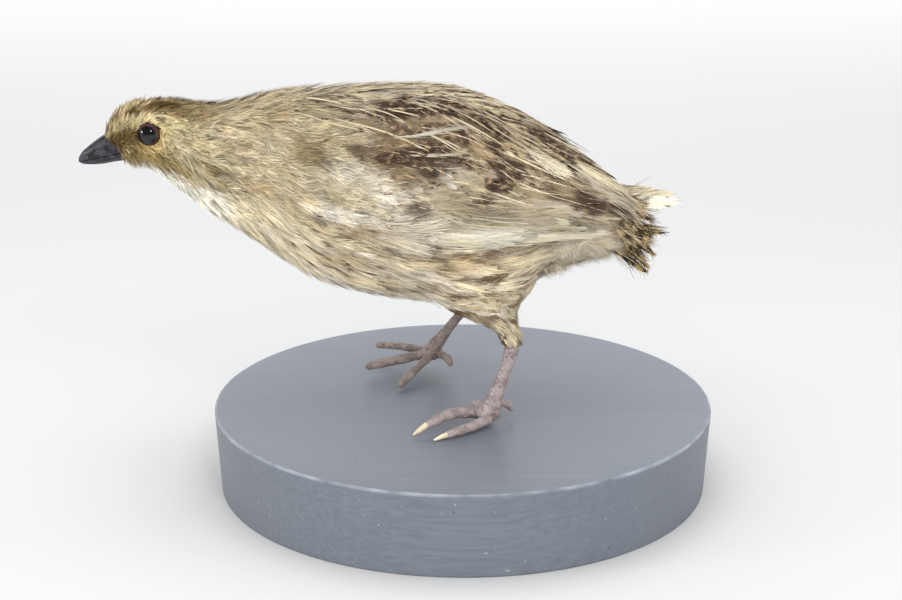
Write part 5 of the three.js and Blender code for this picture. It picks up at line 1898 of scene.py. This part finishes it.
@dataclass(frozen=True)
class Limb:
    """A round limb through places of x, distance from the median plane, z and radius."""

    side: int
    places: Places
    sides: int = 48
    rows: int = 60
    plates: float = 1.3  # length of a scute
    relief: float = 0.1  # depth of the grooves between scutes
    knuckle: float = 0.0  # swelling at the joints, as a share of the radius
    round_end: float = 0.6  # share of the last radius over which it closes

    def rings(self) -> tuple[Array, Array]:
        """Rings set square to a smooth curve through the places, with scutes pressed in.

        Formula: the curve is the table's cubic along the summed straight lengths; a groove is
        where length / plate, half a plate on in every other column, is near a whole number.

        Returns:
            Rings of points, and the depth of the groove at each from 0 to 1.
        """
        table = np.array(self.places, float)
        steps = np.linalg.norm(np.diff(table[:, :3], axis=0), axis=1)
        run = np.concatenate([[0], np.cumsum(steps)])
        at = np.linspace(0, run[-1], self.rows)
        x, out, z, radius = smooth_rows(np.column_stack([run, table]), at)
        centre = np.stack([x, MEDIAN_Y + self.side * out, z], axis=-1)
        ahead = np.gradient(centre, axis=0)
        ahead /= np.linalg.norm(ahead, axis=1, keepdims=True)
        front = np.array([-1.0, 0, 0.35])
        up = front - (ahead @ front)[:, None] * ahead
        up /= np.linalg.norm(up, axis=1, keepdims=True)
        beside = np.cross(ahead, up)
        angle = np.linspace(0, 2 * np.pi, self.sides, endpoint=False)[None]
        column = np.floor((angle + np.pi / 8) / (np.pi / 4)) % 2
        length = at[:, None] / self.plates + 0.5 * column
        cross = np.abs(length - np.round(length)) * self.plates
        split = np.abs((angle + np.pi / 8) / (np.pi / 4) % 1 - 0.5)
        groove = np.maximum(1 - cross / 0.16, 0) + np.maximum((split - 0.4) / 0.1, 0) * 0.8
        front_share = soft(1.2 - np.abs((angle + np.pi) % (2 * np.pi) - np.pi) / 2)
        groove = np.clip(groove, 0, 1) * (0.35 + 0.65 * front_share)
        joint = np.zeros(len(at))
        for place in run[1:-1]:
            joint += np.exp(-(((at - place) / 0.9) ** 2))
        end = np.sqrt(np.clip((run[-1] - at) / (self.round_end * table[-1, 3]) + 0.05, 0, 1))
        size = (radius * (1 + self.knuckle * joint) * end)[:, None]
        lumps = Noise(31)
        rough = 0.06 * lumps(at[:, None] / 0.9 + 5, 3 * np.cos(angle), 3 * np.sin(angle))
        size = size * (1 + rough) - self.relief * groove * end[:, None]
        spin = np.cos(angle)[..., None] * up[:, None] + np.sin(angle)[..., None] * beside[:, None]
        return centre[:, None] + size[..., None] * spin, groove


@dataclass(frozen=True)
class Leg:
    """A leg from the shank down, each piece in place of the frame's node."""

    side: int
    tarsus: Places
    ball: Triple
    ball_size: Triple
    toes: dict[str, Places]
    claws: dict[str, Places]

    def build(self, skin: Material, horn: Material) -> None:
        """Builds shank, foot and toes, and the claws in horn.

        Args:
            skin: the skin's material.
            horn: the claws' material.
        """
        name = "left" if self.side < 0 else "right"
        shank = Limb(self.side, self.tarsus, 56, 150, 1.35, 0.12)
        self.piece(f"tarsus_{name}", shank, skin, "leg_skin")
        for toe, places in self.toes.items():
            limb = Limb(self.side, places, 40, 90, 0.95, 0.1, 0.12, 0.9)
            self.piece(f"toe_{name}_{toe}", limb, skin, "leg_skin")
        for toe, places in self.claws.items():
            limb = Limb(self.side, places, 28, 40, 9.0, 0.0, 0.0, 1.0)
            self.piece(f"claw_{name}_{toe}", limb, horn, "claw")
        polar, around = ball_grid(34, 48)
        out = np.sin(polar)
        way = np.stack([out * np.cos(around), out * np.sin(around), np.cos(polar)], axis=-1)
        lumps = Noise(33)(*np.moveaxis(way * 4 + 9, -1, 0))
        middle = np.array([self.ball[0], MEDIAN_Y + self.side * self.ball[1], self.ball[2]])
        rings = middle + way * self.ball_size * (1 + 0.08 * lumps[..., None])
        points, faces = closed_tube(rings, 0, True)
        groove = np.append(np.clip(-lumps * 1.4 - 0.3, 0, 1), [0.0, 0.0])
        finish_mesh(f"foot_{name}_skin", points, faces, skin, {"groove": groove},
            nodes=(f"foot_{name}",))

    def piece(self, node: str, limb: Limb, finish: Material, slot: str) -> None:
        """Puts one limb in place of its node."""
        rings, groove = limb.rings()
        points, faces = closed_tube(rings, 0, True)
        groove = np.append(groove, [0.0, 0.0])
        finish_mesh(f"{node}_{slot}", points, faces, finish, {"groove": groove}, nodes=(node,))


LEFT_LEG = Leg(
    side=-1,  # places: x, distance from the median plane, z, radius
    tarsus=((14.4, 21.4, 48.2, 2.3), (13.1, 21.9, 43, 1.9), (11.3, 22.7, 38, 1.8),
        (9.6, 23.5, 33.2, 2.15), (8.2, 24.1, 29.6, 2.7), (7.4, 24.3, 27.9, 2.3)),
    ball=(7.2, 24.4, 27.9),
    ball_size=(3.6, 3.1, 2.7),
    toes={
        "middle": ((6, 23.6, 27.6, 1.7), (4.3, 23, 27.2, 1.6), (0.2, 25, 28, 1.6),
            (-4, 27.6, 28.4, 1.55), (-7.4, 30.2, 27.7, 1.45), (-10.9, 32.9, 26.8, 1.15)),
        "outer": ((7, 25.4, 26.9, 1.7), (6.6, 27, 26.5, 1.6), (2.6, 31.6, 26.3, 1.45),
            (-1.6, 35.4, 26.1, 1.25), (-5.2, 38, 25.8, 0.95)),
        "inner": ((6, 22.6, 28.3, 1.2), (4.6, 21.2, 28.9, 1.1), (2.6, 20, 29.6, 0.9)),
        "hallux": ((9.2, 22.6, 29.4, 1.2), (11, 21.6, 29.6, 1.1), (13.2, 20.4, 28.6, 1),
            (14.3, 19.6, 26.6, 0.85)),
    },
    claws={
        "middle": ((-10, 32, 27, 0.95), (-12.4, 34.2, 26.1, 0.7), (-14.3, 35.5, 25, 0.22)),
        "outer": ((-4.6, 37.5, 25.9, 0.8), (-6.6, 38.7, 25.55, 0.6), (-8.4, 39.6, 25.1, 0.22)),
    },
)
RIGHT_LEG = Leg(
    side=1,  # places: x, distance from the median plane, z, radius
    tarsus=((3.9, 17.5, 51, 1.9), (0.5, 17.5, 46, 1.5), (-3, 18, 41.3, 1.45), (-6.2, 19.4, 36.6, 1.8),
        (-8.6, 20.8, 33, 2.3), (-9.4, 21.2, 31.2, 2.1)),
    ball=(-9.6, 21.3, 30.9),
    ball_size=(3.3, 3, 2.6),
    toes={
        "middle": ((-10.6, 21.2, 30.6, 1.5), (-12.6, 20.8, 30.2, 1.4), (-18.5, 18.7, 29.5, 1.45),
            (-24.5, 16.6, 28.8, 1.35), (-30, 15, 28.1, 1.15)),
        "outer": ((-10.2, 22.3, 30.7, 1.4), (-11.4, 23.7, 30.5, 1.25), (-16.6, 27.6, 30.2, 1.2),
            (-22.4, 31.6, 29.6, 1.15), (-27.4, 34.4, 28.8, 0.95)),
        "inner": ((-10.2, 20.2, 30.2, 1.4), (-10.9, 18.3, 29.8, 1.35), (-13.6, 12.8, 28.9, 1.15),
            (-16.6, 7.4, 27.4, 1.25), (-19.2, 3, 26.2, 1.05)),
        "hallux": ((-8, 20.4, 31, 1.2), (-6.4, 19.2, 30.6, 1.1), (-4.4, 17.2, 30, 1.1),
            (-3.4, 16, 28, 0.9)),
    },
    claws={},
)


@dataclass(frozen=True)
class Base:
    """The turned disc, a little wider at the top, with softened rims."""

    foot: float
    top: float
    height: float
    arris: float = 0.55
    sides: int = 256

    @staticmethod
    def of_frame(slope: float = 1.4) -> Base:
        """Takes the node's box; the foot is narrower by slope."""
        low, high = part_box("stand_base")
        top = (high[0] - low[0]) / 2 / MM
        return Base(top - slope, top, high[2] / MM)

    def build(self) -> None:
        """Turns a profile with quarter rounds at both rims."""
        bend = np.radians(np.linspace(0, 90, 7))
        wall = np.linspace(0, 1, 14)[1:-1, None] * [[self.top - self.foot, self.height - 2 * self.arris]]
        profile = np.vstack([[[8, 0], [self.foot - 6, 0]],
            np.column_stack([self.foot - self.arris + self.arris * np.sin(bend),
            self.arris - self.arris * np.cos(bend)]), wall + [[self.foot, self.arris]],
            np.column_stack([self.top - self.arris + self.arris * np.cos(bend),
            self.height - self.arris + self.arris * np.sin(bend)]), [[self.top - 6, self.height],
            [self.top / 2, self.height], [8, self.height]]])
        angle = np.linspace(0, 2 * np.pi, self.sides, endpoint=False)[None]
        radius, z = profile[:, :1], profile[:, 1:]
        rings = np.stack([radius * np.cos(angle), radius * np.sin(angle), z + 0 * angle], axis=-1)
        points, faces = closed_tube(rings, 0, True)
        paint = PaintFinish(self.top * MM, self.height * MM).material()
        finish_mesh("stand_base_paint", points, faces, paint, nodes=("stand_base",))


@dataclass(frozen=True)
class Studio:
    """Pale floor, soft lights and the camera at the photograph's angle."""

    target: Triple = (-3.5, 0.0, 55.5)  # millimetres
    distance: float = 556.0
    elevation: float = 17.0
    lens: float = 75.23
    floor_size: float = 6.0
    lamps: tuple[tuple[str, Triple, float, float], ...] = (  # name, place, size and power
        ("key", (-420, -520, 620), 380, 0.5),
        ("fill", (520, -420, 420), 420, 0.5),
        ("top", (0, 100, 760), 600, 2.9),
        ("front", (-60, -760, 60), 620, 4.5),
        ("left_lamp", (-723, -243, 290), 105, 1.1),
        ("front_lamp", (128, -552, 488), 105, 0.9),
    )
    sky: float = 1.5
    sky_in_gloss: float = 0.12  # the room above is dark in reflections, as round a light tent

    def build(self) -> None:
        """Adds them, and the world's even light."""
        scene = bpy.context.scene
        scene.view_settings.view_transform = "Standard"
        world = bpy.data.worlds.new("studio")
        scene.world = world
        world.use_nodes = True
        nodes = Nodes(world.node_tree)
        glossy = nodes.node("ShaderNodeLightPath", {}, {}).outputs["Is Glossy Ray"]
        facing = nodes.node("ShaderNodeTexCoord", {}, {}).outputs["Generated"]
        way = nodes.node("ShaderNodeVectorMath", {"operation": "DOT_PRODUCT"}, {0: facing, 1: (0.0, -0.7,
            1.0)}).outputs["Value"]
        dark = nodes.node("ShaderNodeMapRange", {}, {"Value": way, "From Min": 0.25, "From Max": 0.6,
            "To Max": glossy}).outputs[0]
        level = nodes.node("ShaderNodeMapRange", {}, {"Value": dark, "To Min": self.sky,
            "To Max": self.sky_in_gloss}).outputs[0]
        for key, value in enumerate(((0.96, 0.97, 1.0), level)):
            nodes.connect(nodes.tree.nodes["Background"].inputs[key], value)
        size = self.floor_size / 2
        mesh = bpy.data.meshes.new("floor")
        corners = [(-size, -size, 0), (size, -size, 0), (size, size, 0), (-size, size, 0)]
        mesh.from_pydata(corners, [], [(0, 1, 2, 3)])
        floor = bpy.data.objects.new("floor", mesh)
        scene.collection.objects.link(floor)
        graph = Graph("floor_paper")
        # darker near the bird and paler further back: painted shade near the lamps and painted light
        # further off, evening out their fall-off
        away = graph.split(graph.place)[1].above(0.25, 1.3)
        tone = graph.layered(colour(178, 178, 177), (away, (217, 217, 215)))
        mesh.materials.append(graph.finish(Base_Color=tone, Roughness=0.9, Specular_IOR_Level=0.1))
        for lamp in self.lamps:
            self.light(*lamp)
        camera = bpy.data.cameras.new("camera")
        camera.lens = self.lens
        camera.sensor_width = 36
        camera.clip_start, camera.clip_end = 0.01, 20
        eye = bpy.data.objects.new("camera", camera)
        lean = math.radians(self.elevation)
        x, y, z = self.target
        eye.location = (x * MM, (y - self.distance * math.cos(lean)) * MM,
            (z + self.distance * math.sin(lean)) * MM)
        eye.rotation_euler = (math.pi / 2 - lean, 0, 0)
        scene.collection.objects.link(eye)
        scene.camera = eye

    def light(self, name: str, place: Triple, size: float, power: float) -> None:
        """Adds a square soft box, turned to the bird.

        Args:
            name: its name.
            place: its middle.
            size: its edge.
            power: watts.
        """
        lamp = bpy.data.lights.new(name, "AREA")
        lamp.size = size * MM
        lamp.energy = power
        made = bpy.data.objects.new(name, lamp)
        made.visible_glossy = size < 200
        made.location = [part * MM for part in place]
        way = np.array(place) - np.array([0, 0, 70])
        flat = math.hypot(way[0], way[1])
        made.rotation_euler = (math.atan2(flat, way[2]), 0, math.atan2(way[0], -way[1]))
        bpy.context.scene.collection.objects.link(made)


def main() -> None:
    """Loads the frame and builds every piece on it."""
    logging.basicConfig(level=logging.INFO, format="%(message)s")
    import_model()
    eyes = tuple(Eye.of_frame(name, side) for name, side in (("eye_left", -1), ("eye_right", 1)))
    head = PlumageFinish("head_plumage", dark=(88, 68, 38), gain=1.22, depth=0.5, root=0.65,
        lines=3.4).material()
    body = PlumageFinish("body_plumage", dark=(104, 85, 64), gain=1.13, bars=3.0, depth=0.25,
        root=0.75).material()
    wing = PlumageFinish("wing_plumage", dark=(76, 58, 48), buff=(178, 152, 114), gain=0.84, depth=0.4,
        lines=3.0).material()
    tail = PlumageFinish("tail_plumage", dark=(44, 34, 25), buff=(198, 174, 122), gain=1.05,
        bars=3.2).material()
    Skin().build(body)
    HeadCoat(eyes).build(head, body)
    BodyCoat().build(body, wing)
    WingCoat().build(wing)
    TailCoat().build(tail)
    ThighCoat().build(body)
    Bill().build(HornFinish("bill_horn", (8, 7, 10), (66, 66, 73), 0.34).material())
    glass = EyeFinish().material()
    lid = LegFinish("lid_skin", (50, 29, 28), (68, 42, 38), (80, 62, 38)).material()
    for eye, name in zip(eyes, ("eye_left", "eye_right")):
        eye.build(glass, lid, name)
    claw = HornFinish("claw_horn", (186, 170, 138), (216, 204, 178), 0.4).material()
    near = LegFinish("leg_skin_left", (133, 120, 117), (157, 145, 142), (78, 66, 62)).material()
    far = LegFinish("leg_skin_right", (122, 110, 104), (146, 132, 125), (72, 63, 56)).material()
    LEFT_LEG.build(near, claw)
    RIGHT_LEG.build(far, claw)
    Base.of_frame().build()
    Studio().build()


if __name__ == "__main__":
    main()
